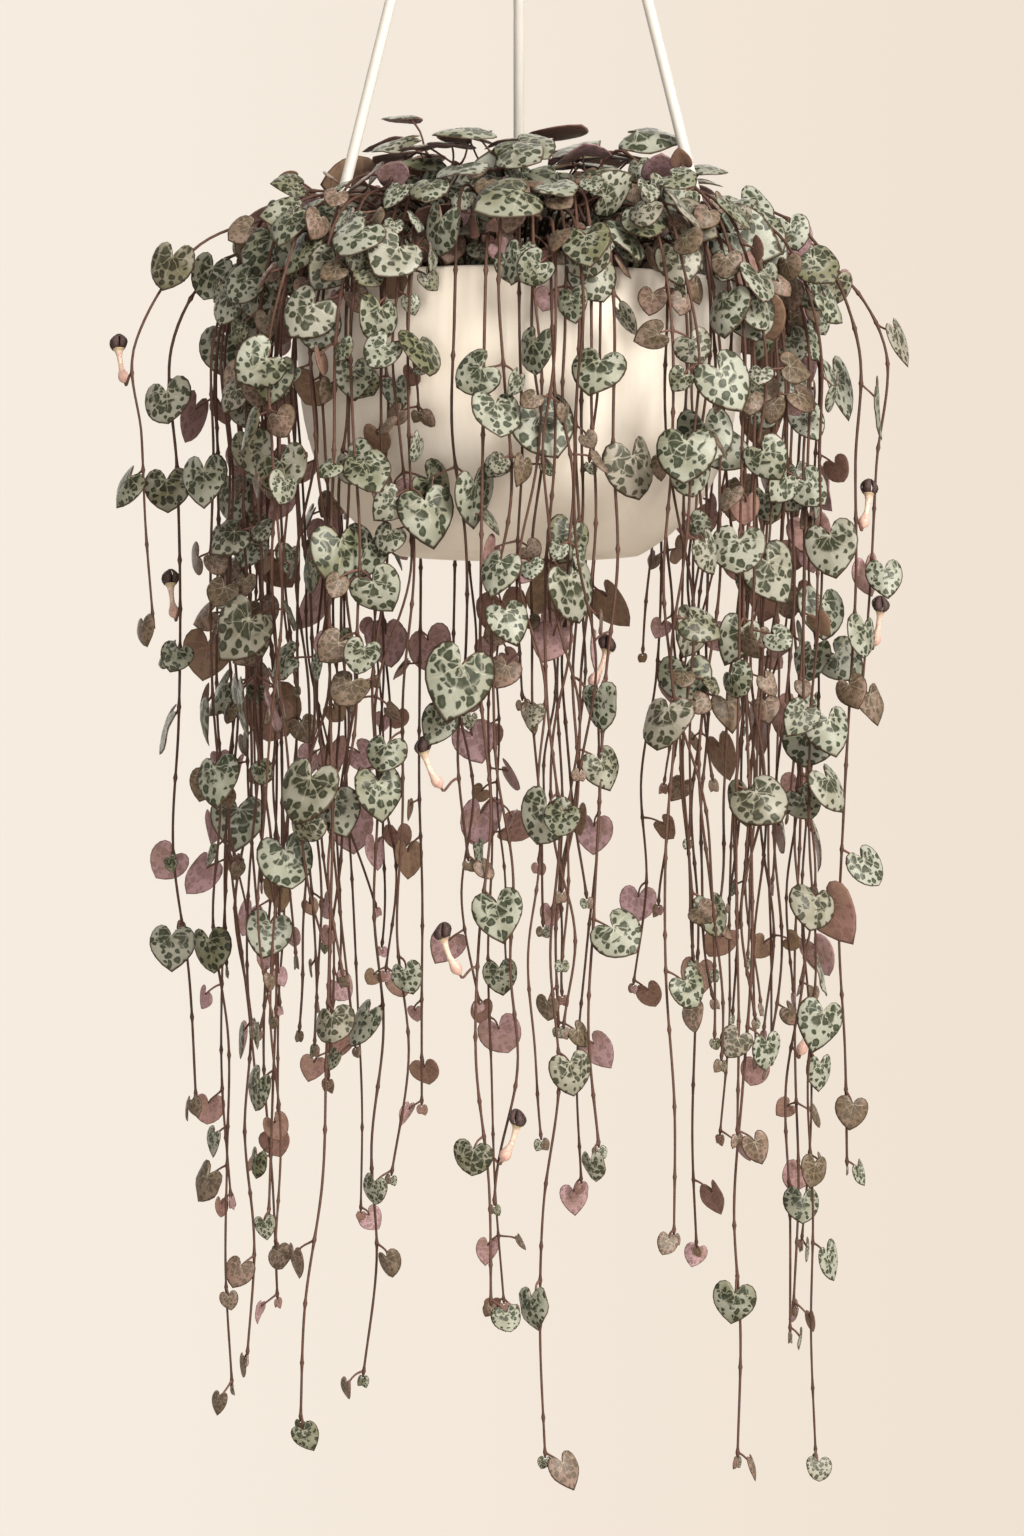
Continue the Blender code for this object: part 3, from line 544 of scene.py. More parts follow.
# Azimuth in degrees from +X, then root radius, crest above the rim, reach from the axis, drop
# below the rim and the tip's drift towards a higher azimuth, in millimetres.
VINES = (
    (114, 44, 14, 92, 300, 4), (122, 30, 30, 98, 250, 0), (130, 50, 12, 104, 340, -6),
    (139, 26, 36, 96, 280, 3), (148, 46, 18, 110, 370, 5), (157, 34, 27, 101, 300, -4),
    (166, 52, 11, 114, 330, 3), (174, 28, 33, 103, 385, 8), (181, 46, 16, 125, 292, 0),
    (188, 34, 25, 138, 120, 0), (195, 54, 12, 112, 392, 0), (202.5, 30, 30, 100, 330, 4),
    (217.5, 48, 15, 106, 340, -12), (225, 28, 34, 97, 270, 6), (233, 50, 13, 104, 400, -24),
    (240, 34, 24, 94, 383, -12), (247, 52, 10, 97, 313, -9), (256, 30, 28, 92, 205, 5),
    (263, 50, 11, 97, 356, 0), (270, 36, 20, 90, 150, 2), (276.5, 52, 9, 98, 408, -1),
    (283, 28, 30, 91, 262, -6), (290, 46, 13, 95, 303, -6), (299, 34, 22, 107, 333, 6),
    (307, 54, 10, 96, 255, 4), (314.5, 30, 32, 110, 300, 4), (322.5, 50, 14, 102, 413, 0),
    (337.5, 34, 24, 114, 416, 12), (345, 52, 12, 106, 374, 3), (353, 28, 30, 122, 316, 4),
    (0.5, 46, 16, 132, 147, 0), (9, 32, 26, 110, 345, -3), (18, 54, 11, 98, 280, 5),
    (27, 30, 34, 117, 372, -6), (36, 48, 14, 104, 310, 4), (46, 34, 24, 96, 352, -4),
    (58, 50, 12, 101, 255, 5), (71, 30, 30, 94, 330, 6), (78, 52, 10, 91, 225, 4),
    (97.5, 34, 22, 93, 376, -5), (104.5, 50, 13, 97, 262, -6),
)

# Azimuth, root radius, height over the rim and lean outward, in mm
SHOOTS = (
    (20, 8, 42, 22), (92, 16, 38, 30), (150, 18, 44, 34),
    (205, 14, 46, 30), (262, 20, 40, 34), (320, 16, 45, 36),
)


def polar(azimuth, radius, height):
    angle = math.radians(azimuth)
    return Vector((radius * math.cos(angle), radius * math.sin(angle), height))


def rooted(azimuth, root):
    """The first points of every stem: straight up out of the soil."""
    soil = soil_top(root)
    return [polar(azimuth, root, soil + share * ROOT_DEPTH) for share in (-1, -0.4, 0.2, 0.6)]


def vine_route(azimuth, root, crest, reach, drop, drift):
    """From the soil up over the rim, then straight down with a little sway."""
    rng = random.Random(f"route {azimuth}")
    points = rooted(azimuth, root) + [
        polar(azimuth, root + 0.40 * (RIM_RADIUS - root), RIM_Z + 0.8 * crest),
        polar(azimuth, 0.95 * RIM_RADIUS, RIM_Z + crest),
        polar(azimuth, 0.4 * RIM_RADIUS + 0.6 * reach, RIM_Z + 0.55 * crest),
        polar(azimuth, reach, RIM_Z - HANG_START),
    ]
    count = max(2, round(drop / HANG_SPACING))
    for i in range(1, count + 1):
        sway = min(i, 3) / 3
        radius = reach - HANG_TUCK * i / count + sway * rng.uniform(-SWAY, SWAY)
        shift = (sway * rng.uniform(-SWAY, SWAY) + drift * (i / count) ** 2) / reach
        height = RIM_Z - HANG_START - (drop - HANG_START) * i / count
        points.append(polar(azimuth + math.degrees(shift), radius, height))
    return smoothed(points, ROUTE_SPACING)


def shoot_route(azimuth, root, height, lean):
    soil = soil_top(root)
    top = RIM_Z + height
    return smoothed(rooted(azimuth, root) + [
        polar(azimuth, root + 0.3 * lean, soil + 0.6 * (top - soil)),
        polar(azimuth, root + 0.75 * lean, top),
        polar(azimuth, root + lean + 0.006, top - 0.006),
    ], ROUTE_SPACING)


def plant_routes():
    """Each stem's name, azimuth and route."""
    found = []
    for number, (azimuth, *sizes) in enumerate(VINES):
        route = vine_route(azimuth, *[size / 1000 for size in sizes])
        found.append((f"vine_{number + 1:02d}", azimuth, route))
    for number, (azimuth, *sizes) in enumerate(SHOOTS):
        route = shoot_route(azimuth, *[size / 1000 for size in sizes])
        found.append((f"shoot_{number + 1}", azimuth, route))
    return found


def leaf_nodes(route, azimuth):
    """Indices of the route's points where leaves grow, the last of them just short of the tip."""
    rng = random.Random(f"nodes {azimuth}")
    found = []
    travelled = 0
    wanted = FIRST_NODE + ROOT_DEPTH
    for i in range(1, len(route)):
        travelled += (route[i] - route[i - 1]).length
        if travelled >= wanted:
            found.append(i)
            wanted += rng.uniform(*NODE_SPACING)
    last = len(route) - 2
    if last - found[-1] < 6:
        found.pop()
    return found + [last]


def stem_frame(route, index, azimuth):
    """The stem's direction, its sideways axis and its outer side at one of its points."""
    low = max(index - 1, 0)
    high = min(index + 1, len(route) - 1)
    along = (route[high] - route[low]).normalized()
    sideways = UP.cross(polar(azimuth, 1, 0))
    outer = along.cross(sideways).normalized()
    return along, outer.cross(along).normalized(), outer


def stem_stations(route, nodes):
    """The route's points that carry a ring of the plain stem: at the soil, the nodes and the bends."""
    chosen = [0]
    emerging = int(1.2 * ROOT_DEPTH / ROUTE_SPACING)
    for i in range(1, len(route) - 1):
        last = chosen[-1]
        before = route[last + 1] - route[last]
        after = route[i + 1] - route[i]
        if i == emerging or i in nodes or before.angle(after) > math.radians(STEM_BEND):
            chosen.append(i)
    return chosen + [len(route) - 1]


def plain_stem(work, route, azimuth, nodes):
    """A three-sided stem. Returns, for each node, the four corners of its left and right faces."""
    last = len(route) - 1
    rings = []
    for i in stem_stations(route, nodes):
        along, sideways, outer = stem_frame(route, i, azimuth)
        radius = STEM_RADIUS + (STEM_TIP_RADIUS - STEM_RADIUS) * i / last
        offsets = (-NODE_LENGTH / 2, NODE_LENGTH / 2) if i in nodes else (0,)
        for offset in offsets:
            middle = route[i] + along * offset
            turns = [math.radians(angle) for angle in STEM_CORNERS]
            corners = [math.cos(t) * sideways + math.sin(t) * outer for t in turns]
            rings.append((i, [work.verts.new(middle + radius * corner) for corner in corners]))
    faces = {}
    for (i, low), (j, high) in zip(rings, rings[1:]):
        for side, (a, b) in ((-1, (0, 1)), (0, (1, 2)), (1, (2, 0))):
            quad = [low[a], low[b], high[b], high[a]]
            work.faces.new(quad)
            if i == j and side:
                faces[i, side] = [corner.co.copy() for corner in quad]
    work.faces.new(rings[0][1][::-1])
    work.faces.new(rings[-1][1])
    return faces


# The leaves: thick, heart-shaped blades in pairs on short stalks. Each takes the first of its
# seeded places that is clear of its neighbours, so that none grows through another.
LEAF_THICKNESS = 0.0007
LEAF_CLEARANCE = 0.0005
LARGE_LEAF = 0.0215
TIP_LEAF = 0.0105
PETIOLE_WIDTH = 0.0010
LEAF_EVERY = 3
TRIES = 16
TRY_SMALLER = 0.22
TRY_LONGER = 0.006
LEAF_SIZES = (0.72, 1.06)
YOUNG_FROM = 0.55
YOUNG_POWER = 1.3
LEAF_TO_WINDOW = 1.3
BACK_ROWS = 0.2
LEAF_TURN = 38
LEAF_SPLAY = 16
LEAF_PITCH = (-22, 28)
LEAF_JITTER = 0.3
PETIOLE_LENGTH = (0.0045, 0.0075)
PETIOLE_SPREAD = (0.35, 0.75)
BOWL_MARGIN = 0.0008
SOIL_MARGIN = 0.0006
ROD_KEEP_OUT = 0.0027
FLARE_KEEP_OUT = 0.0046
CLIP_KEEP_OUT = 0.0068

# Right half of a leaf's plain outline: across, and from the sinus towards the tip, 1 wide
HALF_HEART = ((0.25, -0.22), (0.50, 0.04), (0.36, 0.44))
HEART_DROOP = (-0.03, 0.03, 0.06)
HEART_TIP = 0.82
HEART_TIP_DROOP = 0.08


def leaf_size(share, rng):
    """Leaves shrink towards the tip of a vine. share is 0 at the soil and 1 at the tip."""
    young = max(0.0, (share - YOUNG_FROM) / (1 - YOUNG_FROM))
    return (LARGE_LEAF + (TIP_LEAF - LARGE_LEAF) * young**YOUNG_POWER) * rng.uniform(*LEAF_SIZES)


def window_side(outward):
    """The way to the light: in front of the plant, or behind it for its back rows."""
    return Vector((0, 1 if outward.y > BACK_ROWS else -1, 0))


def leaf_place(route, index, azimuth, side, rng, loosened):
    """One leaf that may grow here: its root, sinus, tip direction, normal and width.

    Leaves on the sides of the plant turn towards its front or its back.
    """
    point = route[index]
    tangent, sideways, outer = stem_frame(route, index, azimuth)
    outward = polar(azimuth, 1, 0)
    level = 1 - abs(tangent.z)
    size = leaf_size(index / (len(route) - 1), rng) * (1 - TRY_SMALLER * loosened)
    lit = (outward + LEAF_TO_WINDOW * window_side(outward)).normalized()
    facing = (lit * (1 - 0.25 * level) + UP * (0.12 + 0.48 * level)).normalized()
    turn = math.radians(rng.uniform(-LEAF_TURN, LEAF_TURN) + LEAF_SPLAY * side)
    pitch = math.radians(rng.uniform(*LEAF_PITCH))
    normal = Matrix.Rotation(turn, 3, UP) @ Matrix.Rotation(pitch, 3, sideways) @ facing
    fall = outward * (0.1 + 0.7 * level) + sideways * side * 0.35 - UP
    fall += scatter(rng, LEAF_JITTER)
    along = square(fall, normal)
    spread = rng.uniform(*PETIOLE_SPREAD)
    petiole = sideways * side * (1.1 - spread) + outer * spread + along * 0.65
    length = rng.uniform(*PETIOLE_LENGTH) + TRY_LONGER * loosened * rng.random() + 0.08 * size
    return point, point + petiole.normalized() * length, along, normal, size


def heart_outline(place, extra):
    """Points round the middle of a plain blade, from the right of its sinus to the left of it."""
    _, sinus, along, normal, size = place
    across = along.cross(normal)
    grown = 1 + 2 * extra / size
    right = [(PETIOLE_WIDTH / 2 / size, 0, 0)]
    right += [(x, y, -droop) for (x, y), droop in zip(HALF_HEART, HEART_DROOP)]
    tip = (0, HEART_TIP, -HEART_TIP_DROOP)
    left = [(-x, y, height) for x, y, height in right[::-1]]
    start = sinus - extra * along
    return [
        start + grown * size * (x * across + y * along + height * normal)
        for x, y, height in (*right, tip, *left)
    ]


def plain_blade(work, place, extra):
    """Both faces and the edge of a plain blade. Returns the four points of its open notch."""
    lift = place[3] * (LEAF_THICKNESS / 2 + extra)
    outline = heart_outline(place, extra)
    front = [work.verts.new(point + lift) for point in outline]
    back = [work.verts.new(point - lift) for point in outline]
    last = len(outline) - 1
    tip = last // 2
    fans = [(0, i, i + 1) for i in range(1, tip)] + [(0, tip, last)]
    fans += [(last, i, i + 1) for i in range(tip, last - 1)]
    for a, b, c in fans:
        work.faces.new((front[a], front[b], front[c]))
        work.faces.new((back[c], back[b], back[a]))
    for i in range(last):
        work.faces.new((front[i], back[i], back[i + 1], front[i + 1]))
    return [front[0], back[0], back[last], front[last]]


def loft(work, first, second):
    """Joins two rings of as many points, turned so that the sides twist least."""
    count = len(first)

    def stretch(shift):
        return sum((first[i].co - second[(i + shift) % count].co).length for i in range(count))

    shift = min(range(count), key=stretch)
    bridge(work, first, second[shift:] + second[:shift])


def triangles_of(work):
    bmesh.ops.triangulate(work, faces=work.faces)
    work.verts.index_update()
    work.faces.ensure_lookup_table()
    return BVHTree.FromBMesh(work)


def tree_of(work):
    """A search tree of the shape's triangles. The shape itself is freed."""
    tree = triangles_of(work)
    work.free()
    return tree


def plain_leaf(place, corners, extra, stalk=True):
    """A plain leaf, with its stalk from the corners of the stem's face, or only its blade."""
    work = bmesh.new()
    notch = plain_blade(work, place, extra)
    if stalk:
        loft(work, [work.verts.new(corner) for corner in corners], notch)
    return work


def crosses_itself(work):
    """Whether two triangles that share no corner cross. The shape itself is freed."""
    tree = triangles_of(work)
    corners = [{vertex.index for vertex in face.verts} for face in work.faces]
    crossed = any(not corners[i] & corners[j] for i, j in tree.overlap(tree))
    work.free()
    return crossed


def meets(tree, others):
    return any(tree.overlap(other) for other in others)


def grow_leaf(route, index, azimuth, side, seed, rule, corners, own, others):
    """The first place for the leaf that is clear of its neighbours, or none."""
    rng = random.Random(f"{seed} {index} {side}")
    for attempt in range(TRIES):
        place = rule(route, index, azimuth, side, rng, attempt / TRIES)
        root, sinus, along, normal, _ = place
        arrival = (sinus - root).normalized()
        if arrival.dot(along) < 0.2 or arrival.dot(normal) < 0.05:
            continue
        if crosses_itself(plain_leaf(place, corners, 0)):
            continue
        if meets(tree_of(plain_leaf(place, corners, LEAF_CLEARANCE, stalk=False)), own):
            continue
        if not meets(tree_of(plain_leaf(place, corners, LEAF_CLEARANCE)), others):
            return place
    return None


def turned_tree(profile, steps=24):
    """A closed turned shape, for keeping the plant clear of it."""
    work = bmesh.new()
    rings = []
    for radius, height in profile:
        angles = [360 * i / steps for i in range(steps)]
        rings.append([work.verts.new(polar(angle, radius, height)) for angle in angles])
    for low, high in zip(rings, rings[1:]):
        bridge(work, low, high)
    return tree_of(work)


def keep_out():
    """What the plant grows round: the bowl with its soil, the rods and their clips."""
    wall = RIM_RADIUS - WALL - SOIL_MARGIN
    under = RIM_Z - POT_HEIGHT - SOIL_MARGIN
    tip = 0.0005
    bowl = [(r, soil_top(r) + SOIL_MARGIN) for r in (tip, 0.030, 0.055, wall - tip)]
    bowl += [(wall, RIM_Z), (RIM_RADIUS - WALL / 2, RIM_Z + 0.0010), (RIM_RADIUS + BOWL_MARGIN, RIM_Z)]
    for depth in (0.004, 0.030, 0.055, 0.070, 0.082, 0.092):
        bowl.append((bowl_radius(depth, 0) + BOWL_MARGIN, RIM_Z - depth))
    bowl += [(BASE_RADIUS + 0.009, under), (tip, under)]
    trees = [turned_tree(bowl)]
    flared = ARM_FOOT + FLARE_LENGTH * ARM_LINE
    runs = (
        (ARM_FOOT, flared, FLARE_KEEP_OUT),
        (flared, ARM_TOP, ROD_KEEP_OUT),
        (ARM_FOOT - CLIP_HEIGHT * UP, ARM_FOOT + 0.001 * UP, CLIP_KEEP_OUT),
    )
    for azimuth in ARM_AZIMUTHS:
        turn = Matrix.Rotation(math.radians(azimuth), 4, "Z")
        for start, end, radius in runs:
            work = bmesh.new()
            line = end - start
            lie = UP.rotation_difference(line).to_matrix().to_4x4()
            bmesh.ops.create_cone(
                work, cap_ends=True, segments=8, radius1=radius, radius2=radius, depth=line.length,
                matrix=turn @ Matrix.Translation((start + end) / 2) @ lie,
            )
            trees.append(tree_of(work))
    return trees


# The flowers: a stalk curves up from the stem to a swollen base, then a narrow tube that opens
# under a dark cage of five blades joined at their tips.
FLOWER_LENGTH = 0.019
FLOWER_KNEE_OUT = 0.006
FLOWER_KNEE_DOWN = 0.003
FLOWER_TURNS = (20, 0, 35, -15, 50)
FLOWER_LEANS = (0.35, 0.6, 0.15)

# The vine's azimuth, how far below the rim in millimetres, and the side that it stands on
FLOWERS = (
    (188, 32, -1), (181, 116, -1), (353, 84, 1),
    (0.5, 128, -1), (283, 142, 1), (256, 176, -1),
    (263, 240, -1), (263, 296, 1), (345, 272, 1),
)

# Up a plain flower: share of its length, how far it bows to the side, and its radius
FLOWER_STATIONS = (
    (0.00, 0.00, 0.0007),
    (0.12, 0.03, 0.0023),
    (0.34, 0.09, 0.0011),
    (0.66, 0.09, 0.0012),
    (0.80, 0.06, 0.0023),
    (1.00, 0.00, 0.0007),
)


def flower_line(place, share, bow):
    """A point of the flower's middle line: the knee is at 0 and the cage's tip at 1."""
    root, toward, leaning = place
    knee = root + FLOWER_KNEE_OUT * toward - FLOWER_KNEE_DOWN * UP
    axis = (UP + leaning * toward).normalized()
    return knee + FLOWER_LENGTH * (share * axis + bow * toward), axis


def plain_flower(place, extra):
    """Four-sided rings up a flower: stalk, swollen base, curved tube and the cage's foot and top."""
    work = bmesh.new()
    toward = place[1]
    sideways = toward.cross(UP).normalized()
    rings = []
    for share, bow, radius in FLOWER_STATIONS:
        middle, axis = flower_line(place, share, bow)
        facing = axis if rings else axis + toward
        across = facing.cross(sideways).normalized()
        corners = [sideways, across, -sideways, -across]
        rings.append([work.verts.new(middle + (radius + extra) * corner) for corner in corners])
    work.faces.new(rings[0])
    for low, high in zip(rings, rings[1:]):
        loft(work, low, high)
    work.faces.new(rings[-1])
    return tree_of(work)


def node_below_rim(route, drop):
    """Index of the hanging route's point that is this far below the rim."""
    hanging = range(len(route) // 4, len(route))
    return min(hanging, key=lambda i: abs(route[i].z - RIM_Z + drop))


def grow_flower(route, index, azimuth, side, others):
    """The first turn of the flower that is clear of its neighbours, or none."""
    sideways = stem_frame(route, index, azimuth)[1]
    outward = polar(azimuth, 1, 0)
    for turn in FLOWER_TURNS:
        angle = math.radians(turn)
        toward = sideways * side * math.cos(angle) + outward * math.sin(angle)
        for leaning in FLOWER_LEANS:
            place = (route[index], toward, leaning)
            if not meets(plain_flower(place, LEAF_CLEARANCE), others):
                return place
    return None


# The growth: every stem is laid out first, then the flowers, then the leaves, each in the first of
# its seeded places that is clear of what has grown before it, as the stems make room for each other.
NEAR = 0.056
NODE_ROOM = 3
grown = []
stem_trees = {}
stem_corners = {}
places = {}
fixed = keep_out()


def lay_stem(name, route, azimuth, nodes):
    """Keeps a stem's search tree, and the corners that leaves and flowers grow from."""
    work = bmesh.new()
    stem_corners[name] = plain_stem(work, route, azimuth, nodes)
    stem_trees[name] = tree_of(work)
    places.setdefault(name, {})


def neighbours(name, point):
    """Search trees of the stem's own shapes, and of all others that may come near the point."""
    near = [(owner, tree) for owner, centre, tree in grown if (centre - point).length < NEAR]
    own = [stem_trees[name]] + [tree for owner, tree in near if owner == name]
    others = fixed + [tree for owner, tree in stem_trees.items() if owner != name]
    return own, others + [tree for owner, tree in near if owner != name]


def try_leaf(name, route, index, azimuth, side, seed, rule):
    own, others = neighbours(name, route[index])
    corners = stem_corners[name][index, side]
    place = grow_leaf(route, index, azimuth, side, seed, rule, corners, own, others)
    if place:
        places[name][index, side] = place
        grown.append((name, place[1], tree_of(plain_leaf(place, corners, 0))))
    return place


stems = plant_routes()
node_lists = {name: leaf_nodes(route, azimuth) for name, azimuth, route in stems}
first_nodes = {}
blooms = {}
for order, (name, azimuth, route) in enumerate(stems):
    nodes = node_lists[name]
    if name.startswith("vine"):
        kept = [i for k, i in enumerate(nodes) if k % LEAF_EVERY == order % LEAF_EVERY]
        nodes = kept + [nodes[-1]] * (nodes[-1] not in kept)
    first_nodes[name] = nodes
    blooms[name] = {}
    for at, drop, side in FLOWERS:
        if at == azimuth and name.startswith("vine"):
            index = node_below_rim(route, drop / 1000)
            index += (NODE_ROOM + 1) * any(abs(index - other) < NODE_ROOM for other in nodes)
            blooms[name][index] = side
    lay_stem(name, route, azimuth, {*nodes, *blooms[name]})
for name, azimuth, route in stems:
    for index, side in blooms[name].items():
        own, others = neighbours(name, route[index])
        place = grow_flower(route, index, azimuth, side, others + own[1:])
        if place:
            places[name][index, side] = place
            grown.append((name, route[index], plain_flower(place, 0)))
for name, azimuth, route in stems:
    for k, index in enumerate(first_nodes[name]):
        side = 1 if k % 2 else -1
        for growing in (side, -side):
            if try_leaf(name, route, index, azimuth, growing, name, leaf_place):
                break


# More vines and short shoots of the same plant: the pot holds a full clump, whose stems hang in
# dense bunches to the left and right, and whose crown is a mound of leaves with dark gaps.
FILL_TRIES = 24
FILL_SHIFT = 4.5
ABOVE_SOIL = 8
CAD_MARGIN = 0.0012

# The vines of each bunch: azimuth and sizes as in VINES
FILL_VINES = {
    "left": (
        (171, 42, 22, 104, 230, 4), (179, 54, 12, 100, 215, 2), (184, 30, 32, 104, 285, 2),
        (186, 48, 14, 98, 190, 0), (192, 38, 24, 108, 225, 2), (197, 30, 30, 102, 265, 0),
        (199, 46, 17, 90, 240, 3), (206, 40, 22, 99, 245, 9), (219, 36, 26, 112, 262, -8),
        (222, 52, 12, 98, 270, -6), (228, 44, 18, 106, 215, -8), (230, 30, 28, 94, 282, -18),
        (236, 40, 22, 102, 245, -14), (243, 30, 28, 92, 180, -8),
    ),
    "middle": (
        (246, 44, 16, 91, 50, 0), (259, 42, 20, 96, 290, 4), (266, 28, 30, 100, 322, 3),
        (273, 30, 24, 98, 300, 0), (280, 40, 20, 95, 262, -4), (286, 30, 26, 92, 215, -8),
        (289, 52, 14, 90, 70, 0),
    ),
    "right": (
        (302, 42, 18, 98, 240, 14), (304, 30, 28, 112, 275, 14), (311, 34, 24, 114, 215, 8),
        (318, 28, 30, 112, 260, 2), (320, 50, 12, 104, 200, 3), (334, 40, 20, 100, 240, -6),
        (339, 40, 20, 100, 275, 4), (343, 48, 14, 96, 255, -7), (350, 52, 12, 98, 280, -12),
        (355, 44, 16, 104, 190, 2), (2, 36, 24, 106, 255, 0), (5, 50, 12, 98, 215, -2),
    ),
    "back": (
        (13, 44, 18, 106, 255, 0), (23, 34, 26, 104, 270, -4), (32, 50, 12, 106, 230, 2),
        (52, 40, 18, 100, 225, 2), (97, 46, 14, 97, 250, 0), (101, 44, 26, 100, 262, 2),
        (118, 50, 12, 104, 240, 4), (135, 46, 14, 104, 270, -2), (153, 50, 12, 106, 262, 0),
        (161, 38, 22, 104, 270, 2),
    ),
}

# Nearly leafless vines: the bunch, the azimuths that they root between, the azimuth that they
# drift towards, and how many. Then their sizes, each between two values in millimetres.
WIRY_VINES = (
    ("left", 184, 238, 213, 14),
    ("middle", 259, 280, 268, 6),
    ("right", 304, 356, 327, 12),
    ("back", 20, 160, 90, 14),
)
WIRY_SIZES = ((26, 56), (8, 30), (89, 104), (130, 270))
WIRY_DRIFT = 0.35
WIRY_SHIFT = 16

# Crown shoots: how many, the angle from each to the next, and from the innermost to the outermost
# the root radius and the height over the rim, in millimetres. They lean out by between two values,
# and the innermost by only a share of that. Their leaves stand this many points apart.
CROWN_SHOOTS = 100
GOLDEN_TURN = 137.508
CROWN_ROOTS = (3, 69)
CROWN_HEIGHTS = (38, 13)
CROWN_LEANS = (8, 24)
CROWN_UPRIGHT = 0.3
CROWN_STEP = 5

# Waves of a hanging stem: how far each goes, and the range of lengths of the short and long ones
WAVE_SIZES = (0.0009, 0.0034, 0.0012)
SHORT_WAVES = (0.045, 0.08)
LONG_WAVES = (0.13, 0.22)
FULL_TURN = 6.28

# Leaves of the extra stems: where a hanging stem's start and how far apart they stand, closer on its
# arc over the rim, then the sizes of young and grown ones, their turns in degrees and their stalks
LOOSE_START = 0.010
LOOSE_SPACING = (0.021, 0.035)
ARC_CLOSER = 0.48
YOUNG_SHARE = 0.52
YOUNG_SIZES = (0.46, 0.66)
LOOSE_SIZES = (0.70, 0.97)
SMALLEST = 0.0065
LOOSE_TURN = 42
LOOSE_PITCH = (-35, 38)
LOOSE_STALK = (0.0035, 0.0075)
TURNED_AWAY = 0.18
CROWN_SIZES = (0.80, 1.20)
CROWN_STALK = (0.005, 0.010)
INNER_CROWN = 0.55
LEVEL_ABOVE = 0.018
LEVEL_SHARE = 0.16

# The gaps between the bunches: where each lies across, and half its width
GAPS = ((-0.029, 0.006), (0.039, 0.007))
GAP_TOP = -0.415

# The share of the places that stay without a leaf: by height, in front of the pot, at the left and
# right edges, behind the pot, and on wiry stems above and below the rim. Then how far the two
# places of a node go together.
BARE_HEIGHTS = (-0.36, -0.55)
BARE_NODES = (0.23, 0.88)
POT_WINDOW = (-0.032, 0.060)
POT_BARE = 0.60
EDGE = 0.100
EDGE_BARE = 0.66
BEHIND_POT = (0.045, 0.03)
BEHIND_BARE = 0.75
WIRY_BARE = (0.55, 0.85)
BARE_TOGETHER = 0.75
LEAF_MARGIN = 0.0008


def inside_cad(points):
    """Whether all the points lie inside the CAD model's box."""
    low, high = cad_box
    return all(
        low[k] + CAD_MARGIN < point[k] < high[k] - CAD_MARGIN for point in points for k in range(3)
    )


def in_gap(points):
    """Whether any of the points lies in one of the gaps between the bunches."""
    return any(
        point.z < GAP_TOP and abs(point.x - across) < half for across, half in GAPS for point in points
    )


def in_crown(name):
    return name.startswith(("crown", "shoot"))


def loose_nodes(route, azimuth):
    """Nodes at uneven distances, from where the stem comes out over the rim."""
    rng = random.Random(f"loose {azimuth}")
    found = []
    travelled = 0
    wanted = rng.uniform(0, LOOSE_START)
    for i in range(1, len(route) - 6):
        if not found and route[i].z < RIM_Z + 0.002:
            continue
        travelled += (route[i] - route[i - 1]).length
        if travelled >= wanted:
            found.append(i)
            wanted = travelled + rng.uniform(*LOOSE_SPACING) * (ARC_CLOSER if route[i].z > RIM_Z else 1)
    return found + [len(route) - 2]


def crown_nodes(route, azimuth):
    """A crown shoot's leaves stand close together."""
    last = len(route) - 2
    return list(range(ABOVE_SOIL, last - 3, CROWN_STEP)) + [last]


def waved(route, azimuth, rng):
    """The hanging part of the route in slow waves, as wiry stems turn while they grow."""
    outward = polar(azimuth, 1, 0)
    sideways = UP.cross(outward)
    short, long = rng.uniform(*SHORT_WAVES), rng.uniform(*LONG_WAVES)
    starts = [rng.uniform(0, FULL_TURN) for _ in range(3)]
    found = []
    for point in route:
        below = max(0.0, RIM_Z - point.z)
        grows = min(1.0, below / 0.06) * (point - point.dot(UP) * UP).length / 0.1
        quick, slow, swell = [
            size * math.sin(FULL_TURN * below / length + start)
            for size, length, start in zip(WAVE_SIZES, (short, long, long), starts)
        ]
        found.append(point + grows * ((quick + slow) * sideways + swell * outward))
    return found


def loose_place(route, index, azimuth, side, rng, loosened):
    """A leaf that hangs as it likes: most face the light, some show their undersides."""
    point = route[index]
    tangent, sideways, _ = stem_frame(route, index, azimuth)
    outward = polar(azimuth, 1, 0)
    level = 1 - abs(tangent.z)
    size = leaf_size(index / (len(route) - 1), rng) * (1 - TRY_SMALLER * loosened)
    size = max(SMALLEST, size * rng.uniform(*(YOUNG_SIZES if rng.random() < YOUNG_SHARE else LOOSE_SIZES)))
    lit = (0.8 * outward + LEAF_TO_WINDOW * window_side(outward)).normalized()
    facing = (lit * (1 - 0.25 * level) + UP * (0.10 + 0.5 * level)).normalized()
    turn = rng.gauss(0, LOOSE_TURN) + LEAF_SPLAY * side
    if rng.random() < TURNED_AWAY:
        turn += 180
    pitch = Matrix.Rotation(math.radians(rng.uniform(*LOOSE_PITCH)), 3, sideways)
    normal = Matrix.Rotation(math.radians(turn), 3, UP) @ pitch @ facing
    fall = outward * (0.1 + 0.7 * level) + sideways * side * 0.4 - UP + scatter(rng, 0.6)
    along = square(fall, normal)
    spread = rng.uniform(*PETIOLE_SPREAD)
    petiole = sideways * side * (1.1 - spread) + normal * spread + along * 0.6
    length = rng.uniform(*LOOSE_STALK) + TRY_LONGER * loosened * rng.random() + 0.06 * size
    return point, point + petiole.normalized() * length, along, normal, size


